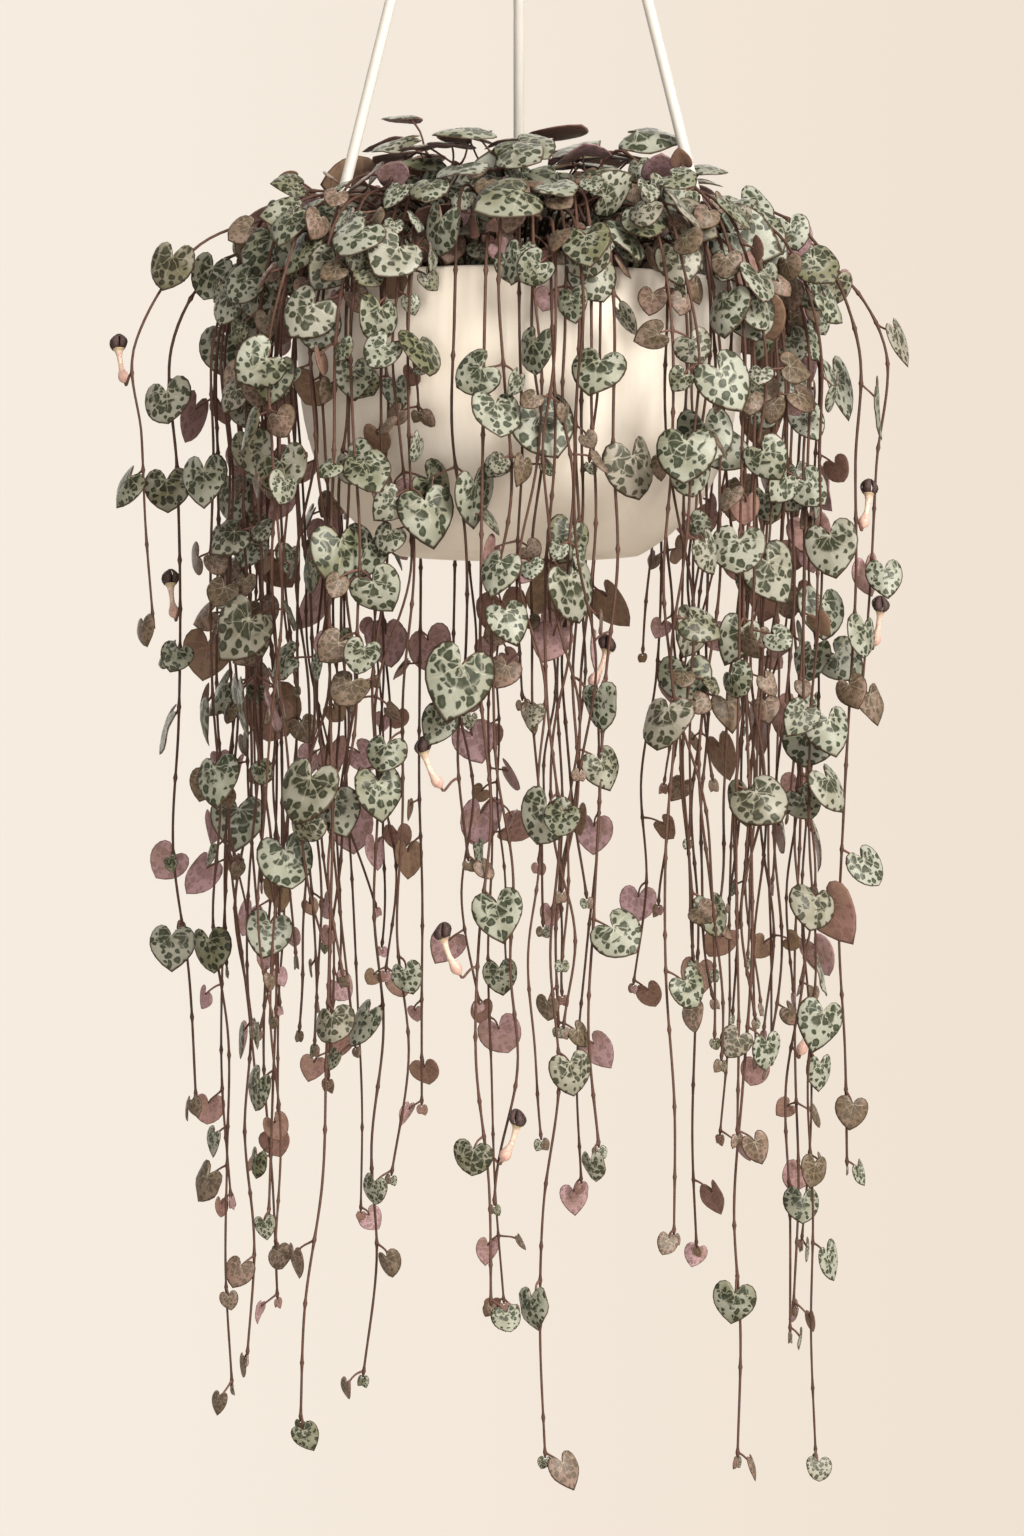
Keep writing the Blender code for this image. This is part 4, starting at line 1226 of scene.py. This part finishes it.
def crown_place(route, index, azimuth, side, rng, loosened):
    """A crown leaf, held up to the light on a longer stalk. A few of the highest lie level."""
    point = route[index]
    sideways = stem_frame(route, index, azimuth)[1]
    outward = polar(azimuth, 1, 0)
    inner = index / (len(route) - 1) < INNER_CROWN
    size = LARGE_LEAF * rng.uniform(*(YOUNG_SIZES if inner else CROWN_SIZES)) * (1 - 0.3 * loosened)
    height = (point.z - RIM_Z - LEVEL_ABOVE) / 0.012
    top = min(1.0, max(0.0, height)) * (rng.random() < LEVEL_SHARE)
    facing = (1 - 0.8 * top) * (0.5 * outward + 0.75 * window_side(outward))
    facing += (rng.uniform(0.0, 1.3) + 1.2 * top) * UP + scatter(rng, 0.5)
    normal = facing.normalized()
    fall = 0.8 * outward + sideways * side * 0.6 - 0.7 * UP + scatter(rng, 0.5)
    along = square(fall, normal)
    petiole = 0.55 * normal + 0.4 * UP + 0.5 * sideways * side + 0.45 * along + scatter(rng, 0.2)
    length = rng.uniform(*CROWN_STALK) + 0.004 * top + 0.008 * loosened * rng.random()
    return point, point + petiole.normalized() * length, along, normal, size


def fill_stem(name, azimuth, sizes, shift, rng, make_route, make_nodes):
    """One more stem, shifted a little where its first place isn't clear of the others."""
    for attempt in range(FILL_TRIES):
        reach = shift * attempt / FILL_TRIES
        turned_azimuth = azimuth + rng.uniform(-reach, reach)
        shifted = [size + rng.uniform(-reach, reach) * (size > 20) for size in sizes]
        route = make_route(turned_azimuth, *[size / 1000 for size in shifted])
        if make_route is vine_route:
            route = waved(route, turned_azimuth, rng)
        if not inside_cad(route) or in_gap(route):
            continue
        work = bmesh.new()
        plain_stem(work, route[ABOVE_SOIL:], turned_azimuth, set(range(0, len(route), 6)))
        tree = tree_of(work)
        if meets(tree, [*fixed, *stem_trees.values(), *[other for _, _, other in grown]]):
            continue
        node_lists[name] = make_nodes(route, turned_azimuth)
        lay_stem(name, route, turned_azimuth, set(node_lists[name]))
        return [(name, turned_azimuth, route)]
    return []


def between(limits, share):
    return limits[0] + (limits[1] - limits[0]) * share


def outer_crown(node):
    """Whether the node is one of the crown's outer ones."""
    (name, _, route), index = node
    return in_crown(name) and index > INNER_CROWN * len(route)


def bare_share(name, point):
    """How large a share of the places near this point of a stem stays without a leaf."""
    x, y, z = point
    if name.startswith("wiry"):
        return WIRY_BARE[z < RIM_Z]
    if POT_WINDOW[0] < x < POT_WINDOW[1] and y < 0 and GAP_TOP < z < RIM_Z:
        return POT_BARE
    if abs(x) > EDGE:
        return EDGE_BARE
    if abs(x) < BEHIND_POT[0] and y > BEHIND_POT[1] and z < RIM_Z:
        return BEHIND_BARE
    return float(np.interp(-z, [-height for height in BARE_HEIGHTS], BARE_NODES))


fill_stems = {bunch: [] for bunch in (*FILL_VINES, "crown")}
rows = [(bunch, *row) for bunch, vines in FILL_VINES.items() for row in vines]
for number, (bunch, azimuth, *sizes) in enumerate(rows):
    name = f"fill_{number + 1:02d}"
    rng = random.Random(name)
    fill_stems[bunch] += fill_stem(name, azimuth, sizes, FILL_SHIFT, rng, vine_route, loose_nodes)
for number in range(CROWN_SHOOTS):
    name = f"crown_{number + 1:02d}"
    rng = random.Random(name)
    share = (number + 0.5) / CROWN_SHOOTS
    height = between(CROWN_HEIGHTS, share) + rng.uniform(-6, 6)
    lean = rng.uniform(*CROWN_LEANS) * (CROWN_UPRIGHT + (1 - CROWN_UPRIGHT) * share)
    sizes = (between(CROWN_ROOTS, math.sqrt(share)), height, lean)
    azimuth = number * GOLDEN_TURN % 360
    fill_stems["crown"] += fill_stem(name, azimuth, sizes, FILL_SHIFT, rng, shoot_route, crown_nodes)
for bunch, first, last, toward, count in WIRY_VINES:
    for number in range(count):
        name = f"wiry_{bunch}_{number + 1:02d}"
        rng = random.Random(name)
        azimuth = first + (last - first) * (number + rng.random()) / count
        sizes = [rng.uniform(*limits) for limits in WIRY_SIZES]
        sizes.append(WIRY_DRIFT * (toward - azimuth) + rng.uniform(-4, 4))
        fill_stems[bunch] += fill_stem(name, azimuth, sizes, WIRY_SHIFT, rng, vine_route, loose_nodes)
for name, azimuth, route in stems:
    taken = {*first_nodes[name], *blooms[name]}
    more = crown_nodes(route, azimuth)
    if not in_crown(name):
        more = [i for i in loose_nodes(route, azimuth) if min(abs(i - other) for other in taken) > 5]
    node_lists[name] = sorted({*first_nodes[name], *more} - set(blooms[name]))
    lay_stem(name, route, azimuth, {*node_lists[name], *blooms[name]})
fillers = [stem for bunch in fill_stems.values() for stem in bunch]
free_nodes = [(stem, index) for stem in fillers + stems for index in node_lists[stem[0]]]
free_nodes.sort(key=outer_crown, reverse=True)
for (name, azimuth, route), index in free_nodes:
    rng = random.Random(f"more {name} {index}")
    rule = crown_place if in_crown(name) else loose_place
    bare = bare_share(name, route[index])
    luck = rng.random()
    for side in (1, -1):
        luckier = BARE_TOGETHER * luck + (1 - BARE_TOGETHER) * rng.random()
        if luckier < bare or (index, side) in places[name]:
            continue
        place = try_leaf(name, route, index, azimuth, side, f"more {name}", rule)
        outline = heart_outline(place, LEAF_MARGIN) if place else []
        if not inside_cad(outline) or in_gap(outline):
            del places[name][index, side]
            grown.pop()


# The look of one leaf: a fleshy heart with rounded lobes and a rolled edge, its top marbled, its
# underside plain mauve, on a thin stalk that joins it in the notch from below.
LEAF_EDGE = (
    (0.012, 0.000), (0.060, -0.105), (0.140, -0.205), (0.255, -0.245), (0.380, -0.205), (0.470, -0.095),
    (0.507, 0.055), (0.500, 0.215), (0.453, 0.370), (0.362, 0.515), (0.218, 0.655),
)
LEAF_TIP = 0.785
LEAF_HUB = (0.0, 0.06)
FRONT_RINGS = (0.36, 0.70, 0.92)
BACK_RINGS = (0.52, 0.92)
FULL_LEAF = 0.0011
SMALL_LEAF = 0.0007

# How leaves differ in shape, each trait between two values, and the share of them that are wavy
LEAF_TRAITS = {
    "width": (0.93, 1.07), "lean": (-0.10, 0.10), "length": (0.90, 1.08), "tip": (-0.6, 0.8),
    "lobes": (0.9, 1.2), "arch": (-0.10, 0.42), "fold": (-0.08, 0.19), "bend": (-0.06, 0.34),
    "wave": (0, 0.045),
}
WAVY_SHARE = 0.7

# What makes one leaf's marbling unlike another's: a whole number, kept in steps besides how far out
# each point lies, and a shift of the pattern
LAST_NUMBER = 9
NUMBER_STEP = 10
PATTERN_SHIFT = 60

# Their looks: the shares of small and large ones that are dull plum, and how dark green the others are, with
# painted light making them paler towards the right, where the light comes from. Deep in the crown all are
# dark: partly their own colour, as leaves grown in shade have less silver, and partly painted shade.
SMALL_SIZE = 0.0125
DULL_SMALL = 0.58
DULL_LARGE = 0.03
DARKNESS = (0.26, -1.2, 0.34)
DEEP_RADIUS = 0.066
DEEP_HEIGHT = 0.020

# Radii of the stalks and stems, and how much of them a knob at a node is
PETIOLE_RADII = (0.00058, 0.00046, 0.00041, 0.00039, 0.00039, 0.00042, 0.00038)
FINE_STEM = 0.00057
FINE_TAPER = 0.00012
KNOB = ((-0.0010, 1.30), (0, 1.75), (0.0010, 1.25))
TINY_LEAF = (0.0032, 0.0046)

# Up a flower: share of its length and its radius, for the swollen base with the tube and the cage
TUBE_FORM = (
    (0.00, 0.0005), (0.03, 0.0010), (0.07, 0.0018), (0.12, 0.0021), (0.18, 0.0019), (0.25, 0.0013),
    (0.33, 0.00095), (0.45, 0.0009), (0.56, 0.00105), (0.64, 0.0014), (0.70, 0.0020), (0.72, 0.0022),
)
CAGE_FORM = (
    (0.705, 0.0020), (0.76, 0.0026), (0.82, 0.0029), (0.88, 0.0027), (0.94, 0.0019), (0.985, 0.0009),
    (1.00, 0.0003),
)
TUBE_SIDES = 12
CAGE_BLADES = 5


def leaf_template():
    """A flat leaf's points, how far out and on which side each lies, and its faces and finishes."""
    rim = [*LEAF_EDGE, (0.0, LEAF_TIP), *[(-x, y) for x, y in LEAF_EDGE[::-1]]]
    count = len(rim)
    points, out, side = [LEAF_HUB], [0.0], [1]
    starts = {}
    layers = [(share, 1) for share in FRONT_RINGS] + [(1.0, 0)] + [(share, -1) for share in BACK_RINGS]
    for layer in layers:
        starts[layer] = len(points)
        for spot in rim:
            points.append([hub + layer[0] * (at - hub) for at, hub in zip(spot, LEAF_HUB)])
            out.append(layer[0])
            side.append(layer[1])
    points.append(LEAF_HUB)
    out.append(0.0)
    side.append(-1)
    faces, finishes = [], []
    for way, rings, hub in ((1, layers[:4], 0), (-1, [*layers[4:], layers[3]], len(points) - 1)):
        first = starts[rings[0]]
        for i in range(count):
            j = (i + 1) % count
            faces.append((hub, first + i, first + j)[::way])
            for inner, outer in zip(rings, rings[1:]):
                a, b = starts[inner], starts[outer]
                faces.append((a + i, b + i, b + j, a + j)[::way])
        finishes += [0 if way == 1 else 1] * (len(faces) - len(finishes))
    return np.array(points), np.array(out), np.array(side), faces, finishes


LEAF_FLAT, LEAF_OUT, LEAF_SIDE, LEAF_FACES, LEAF_FINISHES = leaf_template()


def new_growth():
    return {"points": [], "faces": [], "finishes": [], "spots": [], "looks": []}


def add_shape(growth, points, faces, finishes, spots, looks):
    base = len(growth["points"])
    growth["points"] += [tuple(point) for point in points]
    growth["faces"] += [tuple(base + corner for corner in face) for face in faces]
    growth["finishes"] += finishes
    growth["spots"] += spots
    growth["looks"] += looks


def add_leaf(growth, place, rng):
    """A leaf bent, folded and waved a little in its own way."""
    _, sinus, along, normal, size = place
    across = along.cross(normal)
    x, y = LEAF_FLAT[:, 0].copy(), LEAF_FLAT[:, 1].copy()
    spin = np.arctan2(x, y - LEAF_HUB[1])
    own = {trait: rng.uniform(*limits) for trait, limits in LEAF_TRAITS.items()}
    wave = own["wave"] * (rng.random() < WAVY_SHARE)
    x = x * own["width"] + own["lean"] * np.maximum(y, 0) ** 2
    y = y * own["length"]
    y = np.where(y > 0.4, y + own["tip"] * (y - 0.4) ** 2, y)
    y = np.where(y < 0, y * own["lobes"], y)
    z = 0.03 - own["arch"] * x**2 - own["fold"] * np.abs(x) - own["bend"] * (y - 0.12) ** 2
    z += wave * LEAF_OUT**3 * np.sin(rng.choice((3, 4, 5)) * spin + rng.uniform(0, FULL_TURN))
    half = 0.5 * (SMALL_LEAF + (FULL_LEAF - SMALL_LEAF) * min(1.0, size / LARGE_LEAF))
    thick = LEAF_SIDE * half * np.sqrt(1 - LEAF_OUT**5)
    points = np.array(sinus) + size * (np.outer(x, across) + np.outer(y, along) + np.outer(z, normal))
    points += np.outer(thick, normal)
    if rng.random() < (DULL_SMALL if size < SMALL_SIZE else DULL_LARGE):
        plum, dark = rng.uniform(0.80, 1.0), rng.uniform(0.0, 1.0)
    else:
        plum = max(0.0, rng.gauss(0.0, 0.15))
        # Painted light: the green is paler the further right the leaf grows, towards the light.
        dark = min(1.0, max(0.0, rng.gauss(DARKNESS[0] + DARKNESS[1] * sinus[0], DARKNESS[2])))
    # Painted shade, partly the leaves' own darker green: deep in the crown all leaves are dark.
    if math.hypot(sinus[0], sinus[1]) < DEEP_RADIUS and sinus[2] < RIM_Z + DEEP_HEIGHT:
        dark = rng.uniform(0.8, 1.0)
    number = round(LAST_NUMBER * rng.random())
    seed = PATTERN_SHIFT * rng.random()
    spots = [(a, b, seed) for a, b in LEAF_FLAT]
    looks = [(plum, dark, out + NUMBER_STEP * number) for out in LEAF_OUT]
    add_shape(growth, points.tolist(), LEAF_FACES, LEAF_FINISHES, spots, looks)


def add_stalk(growth, path, radii, sides, age):
    points, faces = tube(path, radii, sides)
    seed = round(1000 * path[0].x + 777 * path[0].z, 3)
    count = len(points)
    add_shape(growth, points, faces, [2] * len(faces), [(0, 0, seed)] * count, [(age, 0, 0)] * count)


def bezier(a, b, c, d, count):
    found = []
    for i in range(count + 1):
        t = i / count
        s = 1 - t
        found.append(s**3 * a + 3 * s * s * t * b + 3 * s * t * t * c + t**3 * d)
    return found


def add_petiole(growth, place, outward, rng):
    """The stalk leaves the stem sideways and joins the blade in its notch, from below."""
    root, sinus, along, normal, size = place
    end = sinus + 0.05 * size * along - 0.0002 * normal
    length = (end - root).length
    leave = (end - root).normalized() + 0.8 * outward + Vector((0, 0, rng.uniform(-0.5, 0.3)))
    arrive = end - (0.42 * along + 0.30 * normal).normalized() * 0.45 * length
    path = bezier(root, root + 0.40 * length * leave.normalized(), arrive, end, 6)
    add_stalk(growth, path, PETIOLE_RADII, 5, rng.uniform(0.55, 1.0))


def add_fine_stem(growth, route, nodes, rng):
    """A wiry stem with a small knob at each node, thinner towards its tip."""
    last = len(route) - 1
    path, radii = [], []
    for i, point in enumerate(route):
        radius = FINE_STEM - FINE_TAPER * i / last
        if i in nodes and 0 < i < last:
            along = (route[i + 1] - route[i - 1]).normalized()
            path += [point + offset * along for offset, _ in KNOB]
            radii += [swelling * radius for _, swelling in KNOB]
        elif i % 2 == 0 or i == last:
            path.append(point)
            radii.append(radius * rng.uniform(0.95, 1.06))
    radii[-1] *= 0.6
    add_stalk(growth, path, radii, 6, rng.uniform(0.0, 0.45))


def add_tip(growth, route, azimuth, rng):
    """Two tiny folded leaves at the end of a vine."""
    along, sideways, outer = stem_frame(route, len(route) - 1, azimuth)
    for side in (-1, 1):
        tip = (along + 0.5 * side * sideways).normalized()
        normal = square(outer, tip)
        start = route[-1] + 0.0008 * tip
        add_leaf(growth, (route[-1], start, tip, normal, rng.uniform(*TINY_LEAF)), rng)


def add_fine_flower(growth, place, rng):
    """A curved flower with its stalk, and a cage of flat blades that meet over the tube."""
    root, toward, _ = place
    sideways = toward.cross(UP).normalized()
    shares, bows, _ = zip(*FLOWER_STATIONS)

    def middle(share):
        return flower_line(place, share, float(np.interp(share, shares, bows)))[0]

    knee, axis = flower_line(place, 0, 0)
    stalk = bezier(root, root + 0.6 * (knee - root) + 0.002 * UP, knee - 0.0035 * axis, knee, 7)
    add_stalk(growth, stalk, [0.0006] + [0.00048] * 7, 6, 0.9)
    path = [middle(share) for share, _ in TUBE_FORM]
    points, faces = tube(path, [radius for _, radius in TUBE_FORM], TUBE_SIDES)
    looks = [(share, 0, 0) for share, _ in TUBE_FORM for _ in range(TUBE_SIDES)]
    spots = [(0, 0, rng.random())] * len(points)
    add_shape(growth, points, faces, [3] * len(faces), spots, looks)
    beside = sideways.cross(axis).normalized()
    start = rng.uniform(0, FULL_TURN)
    for blade in range(CAGE_BLADES):
        turn = start + 2 * math.pi * blade / CAGE_BLADES
        out = math.cos(turn) * sideways + math.sin(turn) * beside
        flat = axis.cross(out).normalized()
        points, faces = [], []
        for i, (share, radius) in enumerate(CAGE_FORM):
            width = 0.60 * radius + 0.00005
            point = middle(share) + radius * out
            points += [point + width * flat, point + 0.0004 * out, point - width * flat, point - 0.0003 * out]
            if i:
                a = 4 * i
                sides = ((0, 1), (1, 2), (2, 3), (3, 0))
                faces += [(a + j - 4, a + k - 4, a + k, a + j) for j, k in sides]
        faces += [(3, 2, 1, 0), tuple(len(points) - 4 + k for k in range(4))]
        looks = [(share, 0, 1) for share, _ in CAGE_FORM for _ in range(4)]
        spots = [(0, 0, rng.random())] * len(points)
        add_shape(growth, points, faces, [4] * len(faces), spots, looks)


def hypotenuse(tree, x, y):
    return maths(tree, "POWER", plus(tree, times(tree, x, x), times(tree, y, y)), 0.5)


def blotted(tree, x, y, sizes, shown, cores):
    """Round blotches of graded sizes on a plane where they are shown, with paler cores."""
    place = put(tree, "ShaderNodeCombineXYZ", {0: x, 1: y}).outputs[0]
    inputs = {"Vector": place, "Scale": 1.0, "Randomness": 0.72}
    cells = put(tree, "ShaderNodeTexVoronoi", inputs, voronoi_dimensions="2D").outputs
    grade = put(tree, "ShaderNodeSeparateColor", {0: cells["Color"]}).outputs[0]
    gap = maths(tree, "SUBTRACT", cells["Distance"], ramp(tree, grade, *sizes))
    blotches = times(tree, ramp(tree, gap, 0.06, -0.06), shown)
    return times(tree, blotches, ramp(tree, gap, *cores))


def pattern_group():
    """A leaf's marbling: dark blotches between pale veins that spread from the stalk's end."""
    outputs = ("Blotches", "Veins", "Flecks", "Shades")
    group, start, end = new_group("leaf_marbling", {"Spot": "Vector"}, outputs)
    spot = start[0]
    seeded = vectors(group, "MULTIPLY", spot, (1, 1, 7))
    warp = vectors(group, "SUBTRACT", noise(group, seeded, 5.0, 3.0, output=1), (0.5, 0.5, 0.5))
    bent = vectors(group, "ADD", spot, vectors(group, "MULTIPLY", warp, (0.18, 0.18, 0)))
    x, y, seed = put(group, "ShaderNodeSeparateXYZ", {0: bent}).outputs
    y = maths(group, "SUBTRACT", y, 0.02)
    spin = maths(group, "ARCTAN2", x, y)
    far = hypotenuse(group, x, y)
    beside = times(group, maths(group, "PINGPONG", spin, 0.40), far)
    veins = times(group, ramp(group, beside, 0.018, 0.005), ramp(group, far, 0.60, 0.25))
    aside = times(group, seed, 3.7)
    wheel = plus(group, times(group, spin, 1.12), aside), times(group, far, 5.0)
    near = blotted(group, *wheel, (0.0, 0.8, 0.38, 0.60), ramp(group, far, 0.33, 0.27), (-0.46, -0.16, 0.90))
    near = times(group, near, ramp(group, far, 0.02, 0.07))
    grid = plus(group, times(group, x, 5.6), aside), times(group, y, 5.6)
    outer = blotted(group, *grid, (0.1, 0.9, 0.20, 0.46), ramp(group, far, 0.28, 0.34), (-0.40, -0.14, 0.88))
    clear = maths(group, "SUBTRACT", 1.0, times(group, veins, 0.5))
    blotches = times(group, maths(group, "MAXIMUM", near, outer), clear)
    found = blotches, veins, noise(group, seeded, 34.0, 3.0), noise(group, seeded, 1.7, 1.0)
    for output, socket in zip(found, end):
        group.links.new(output, socket)
    return group


marbling = pattern_group()


def own_look(tree):
    """The three numbers that each point of the plant carries for its look."""
    look = put(tree, "ShaderNodeAttribute", {}, attribute_name="look").outputs["Vector"]
    return put(tree, "ShaderNodeSeparateXYZ", {0: look}).outputs


def leaf_inputs(tree):
    """The marbling, and the leaf's plum share, darkness, way out to the edge and own number."""
    spot = put(tree, "ShaderNodeAttribute", {}, attribute_name="spot").outputs["Vector"]
    pattern = put(tree, "ShaderNodeGroup", {0: spot}, node_tree=marbling)
    plum, dark, packed = own_look(tree)
    out = maths(tree, "MODULO", packed, NUMBER_STEP)
    number = maths(tree, "DIVIDE", maths(tree, "SUBTRACT", packed, out), LAST_NUMBER * NUMBER_STEP)
    return pattern.outputs, plum, dark, out, number


def layered(tree, colour, *layers):
    """A colour with others laid over it, each with its share."""
    for share, over in layers:
        colour = mixed(tree, share, colour, over)
    return colour


leaf_top, tree, shader = new_material("leaf_top", Roughness=0.42, Specular_IOR_Level=0.25)
(blotches, veins, flecks, shades), plum, dark, out, number = leaf_inputs(tree)
dark = plus(tree, dark, ramp(tree, shades, 0.35, 0.65, -0.35, 0.35))
ground = layered(
    tree, mixed(tree, dark, (0.290, 0.298, 0.252), (0.112, 0.112, 0.062)),
    (times(tree, plum, 0.9), mixed(tree, dark, (0.185, 0.095, 0.076), (0.100, 0.056, 0.036))),
    (times(tree, veins, 0.28), (0.45, 0.44, 0.33)),
    (ramp(tree, flecks, 0.44, 0.70, 0.0, 0.35), (0.19, 0.20, 0.135)),
)
blotch = mixed(tree, dark, (0.033, 0.040, 0.021), (0.013, 0.015, 0.006))
blotch = mixed(tree, times(tree, plum, 0.6), blotch, (0.050, 0.026, 0.017))
skin = layered(
    tree, ground,
    (times(tree, blotches, ramp(tree, plum, 0.2, 1.0, 1.0, 0.60)), blotch),
    (times(tree, ramp(tree, out, 0.92, 0.975), 0.85), (0.060, 0.034, 0.018)),
)
relief = maths(tree, "SUBTRACT", times(tree, flecks, 0.5), times(tree, veins, 0.8))
finish(tree, shader, skin, relief, 0.35, 0.00025, ramp(tree, flecks, 0.3, 0.7, 0.36, 0.50))

leaf_under, tree, shader = new_material("leaf_under", Roughness=0.5, Specular_IOR_Level=0.2)
(blotches, veins, flecks, shades), plum, dark, out, number = leaf_inputs(tree)
skin = layered(
    tree, mixed(tree, ramp(tree, number, 0.40, 0.85), (0.205, 0.114, 0.098), (0.395, 0.255, 0.280)),
    (times(tree, ramp(tree, number, 0.35, 0.0), 0.7), (0.175, 0.130, 0.062)),
    (times(tree, blotches, 0.45), (0.095, 0.050, 0.036)),
    (times(tree, veins, 0.35), (0.34, 0.20, 0.17)),
    (ramp(tree, shades, 0.45, 0.70, 0.0, 0.45), (0.21, 0.135, 0.090)),
    (ramp(tree, flecks, 0.42, 0.75, 0.0, 0.35), (0.12, 0.058, 0.048)),
    (times(tree, ramp(tree, out, 0.93, 0.995), 0.5), (0.10, 0.045, 0.035)),
)
relief = plus(tree, times(tree, flecks, 0.5), times(tree, veins, 0.7))
finish(tree, shader, skin, relief, 0.35, 0.00025, ramp(tree, flecks, 0.3, 0.7, 0.42, 0.58))

stem_skin, tree, shader = new_material("stem_skin", Roughness=0.45, Specular_IOR_Level=0.15)
place = own_place(tree)
patches = noise(tree, place, 85.0, 3.0)
grain = noise(tree, place, 1300.0, 2.0)
x, y, z = put(tree, "ShaderNodeSeparateXYZ", {0: place}).outputs
# Painted shade: the stems are darkened low inside the crown, near the soil, where shade falls.
inward = ramp(tree, hypotenuse(tree, x, y), 0.090, 0.068)
painted_crown_shade = times(tree, inward, ramp(tree, z, RIM_Z + 0.040, RIM_Z + 0.014))
skin = layered(
    tree, mixed(tree, own_look(tree)[0], (0.052, 0.026, 0.018), (0.158, 0.083, 0.064)),
    (ramp(tree, patches, 0.42, 0.68, 0.0, 0.5), (0.092, 0.047, 0.034)),
    (ramp(tree, grain, 0.4, 0.75, 0.0, 0.5), (0.038, 0.020, 0.012)),
    (times(tree, painted_crown_shade, 0.8), (0.014, 0.008, 0.005)),
)
finish(tree, shader, skin, grain, 0.3, 0.0001, ramp(tree, grain, 0.3, 0.7, 0.50, 0.66))

flower_tube, tree, shader = new_material("flower_tube", Roughness=0.5)
rise = own_look(tree)[0]
lines = noise(tree, own_place(tree), 900.0, 2.0)
skin = layered(
    tree, mixed(tree, ramp(tree, rise, 0.10, 0.40), (0.54, 0.35, 0.29), (0.64, 0.50, 0.40)),
    (ramp(tree, rise, 0.58, 0.70), (0.40, 0.33, 0.20)),
    (ramp(tree, lines, 0.45, 0.7, 0.0, 0.5), (0.40, 0.17, 0.17)),
)
finish(tree, shader, skin, lines, 0.3, 0.0001)

flower_cage, tree, shader = new_material("flower_cage", Roughness=0.7)
hairs = noise(tree, own_place(tree), 2400.0, 3.0)
skin = mixed(tree, ramp(tree, hairs, 0.35, 0.7), (0.030, 0.014, 0.016), (0.085, 0.045, 0.038))
finish(tree, shader, skin, hairs, 0.8, 0.0002)


def plant_piece(name, growth):
    """One piece of the plant as an object, with its leaves' own coordinates and looks."""
    mesh = bpy.data.meshes.new(name)
    mesh.from_pydata(growth["points"], [], growth["faces"])
    for material in (leaf_top, leaf_under, stem_skin, flower_tube, flower_cage):
        mesh.materials.append(material)
    mesh.polygons.foreach_set("material_index", growth["finishes"])
    for label, values in (("spot", growth["spots"]), ("look", growth["looks"])):
        layer = mesh.attributes.new(label, "FLOAT_VECTOR", "POINT")
        layer.data.foreach_set("vector", np.array(values, np.float32).ravel())
    mesh.shade_smooth()
    piece = linked(name, mesh)
    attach(piece, "root")
    return piece


def dress(growth, name, azimuth, route):
    """A stem's fine shape with all that grows on it."""
    rng = random.Random(f"look {name}")
    add_fine_stem(growth, route, {*node_lists[name], *blooms.get(name, {})}, rng)
    for (index, side), place in places[name].items():
        if len(place) == 3:
            add_fine_flower(growth, place, rng)
            continue
        add_petiole(growth, place, side * stem_frame(route, index, azimuth)[1], rng)
        add_leaf(growth, place, rng)
    if not in_crown(name):
        add_tip(growth, route, azimuth, rng)


for name, azimuth, route in stems:
    growth = new_growth()
    dress(growth, name, azimuth, route)
    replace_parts(plant_piece(f"{name}_leafy", growth), name)
for bunch, members in fill_stems.items():
    growth = new_growth()
    for name, azimuth, route in members:
        dress(growth, name, azimuth, route)
    plant_piece(f"{bunch}_bunch", growth)


# The studio: a pale floor far below the hanging pot, warm cream all round, a large soft light from
# the upper right in front, and weak ones from low in front and from behind.
FLOOR_Z = -1.15
FLOOR_RADIUS = 2.0
FLOOR_SHADES = ((0.50, 0.455, 0.40), (0.54, 0.495, 0.435))
CREAM_LEFT = (0.93, 0.855, 0.755)
CREAM_RIGHT = (0.865, 0.755, 0.645)
GLOW = (1.0, 0.93, 0.83, 1)
AMBIENT = 0.50
LIT_POINT = Vector((0, 0, -0.45))

work = bmesh.new()
level = Matrix.Translation((0, 0, FLOOR_Z))
bmesh.ops.create_circle(work, cap_ends=True, segments=96, radius=FLOOR_RADIUS, matrix=level)
studio_floor = shaped("studio_floor", work)
floor_paint, tree, shader = new_material("floor_paint", Roughness=0.9, Specular_IOR_Level=0.0)
drift = noise(tree, own_place(tree), 1.2, 2.0)
tree.links.new(mixed(tree, drift, *FLOOR_SHADES), shader.inputs["Base Color"])
studio_floor.data.materials.append(floor_paint)

world = bpy.data.worlds.new("warm_studio")
bpy.context.scene.world = world
world.use_nodes = True
tree = world.node_tree
backdrop = tree.nodes["Background"]
# The camera sees a cream backdrop with painted shade, darker towards the right. Other rays meet an even warm
# glow.
direction = put(tree, "ShaderNodeTexCoord").outputs["Generated"]
sideways = put(tree, "ShaderNodeSeparateXYZ", {0: direction}).outputs[0]
tree.links.new(mixed(tree, ramp(tree, sideways, -0.16, 0.16), CREAM_LEFT, CREAM_RIGHT), backdrop.inputs[0])
glow = put(tree, "ShaderNodeBackground", {0: GLOW, 1: AMBIENT})
seen = put(tree, "ShaderNodeLightPath").outputs["Is Camera Ray"]
both = put(tree, "ShaderNodeMixShader", {0: seen, 1: glow.outputs[0], 2: backdrop.outputs[0]})
tree.links.new(both.outputs[0], tree.nodes["World Output"].inputs[0])


def soft_light(name, place, size, power, colour):
    lamp = bpy.data.lights.new(name, "AREA")
    lamp.size = size
    lamp.energy = power
    lamp.color = colour
    light = linked(name, lamp)
    light.location = place
    light.rotation_euler = (LIT_POINT - Vector(place)).to_track_quat("-Z", "Y").to_euler()


soft_light("window_right", (2.25, -2.95, 1.55), 2.0, 318, (1.0, 0.96, 0.89))
soft_light("fill_low", (-0.4, -3.1, -1.05), 2.0, 52, (1.0, 0.95, 0.88))
soft_light("fill_behind", (-0.8, 3.2, 1.0), 4.0, 85, (1.0, 0.96, 0.90))
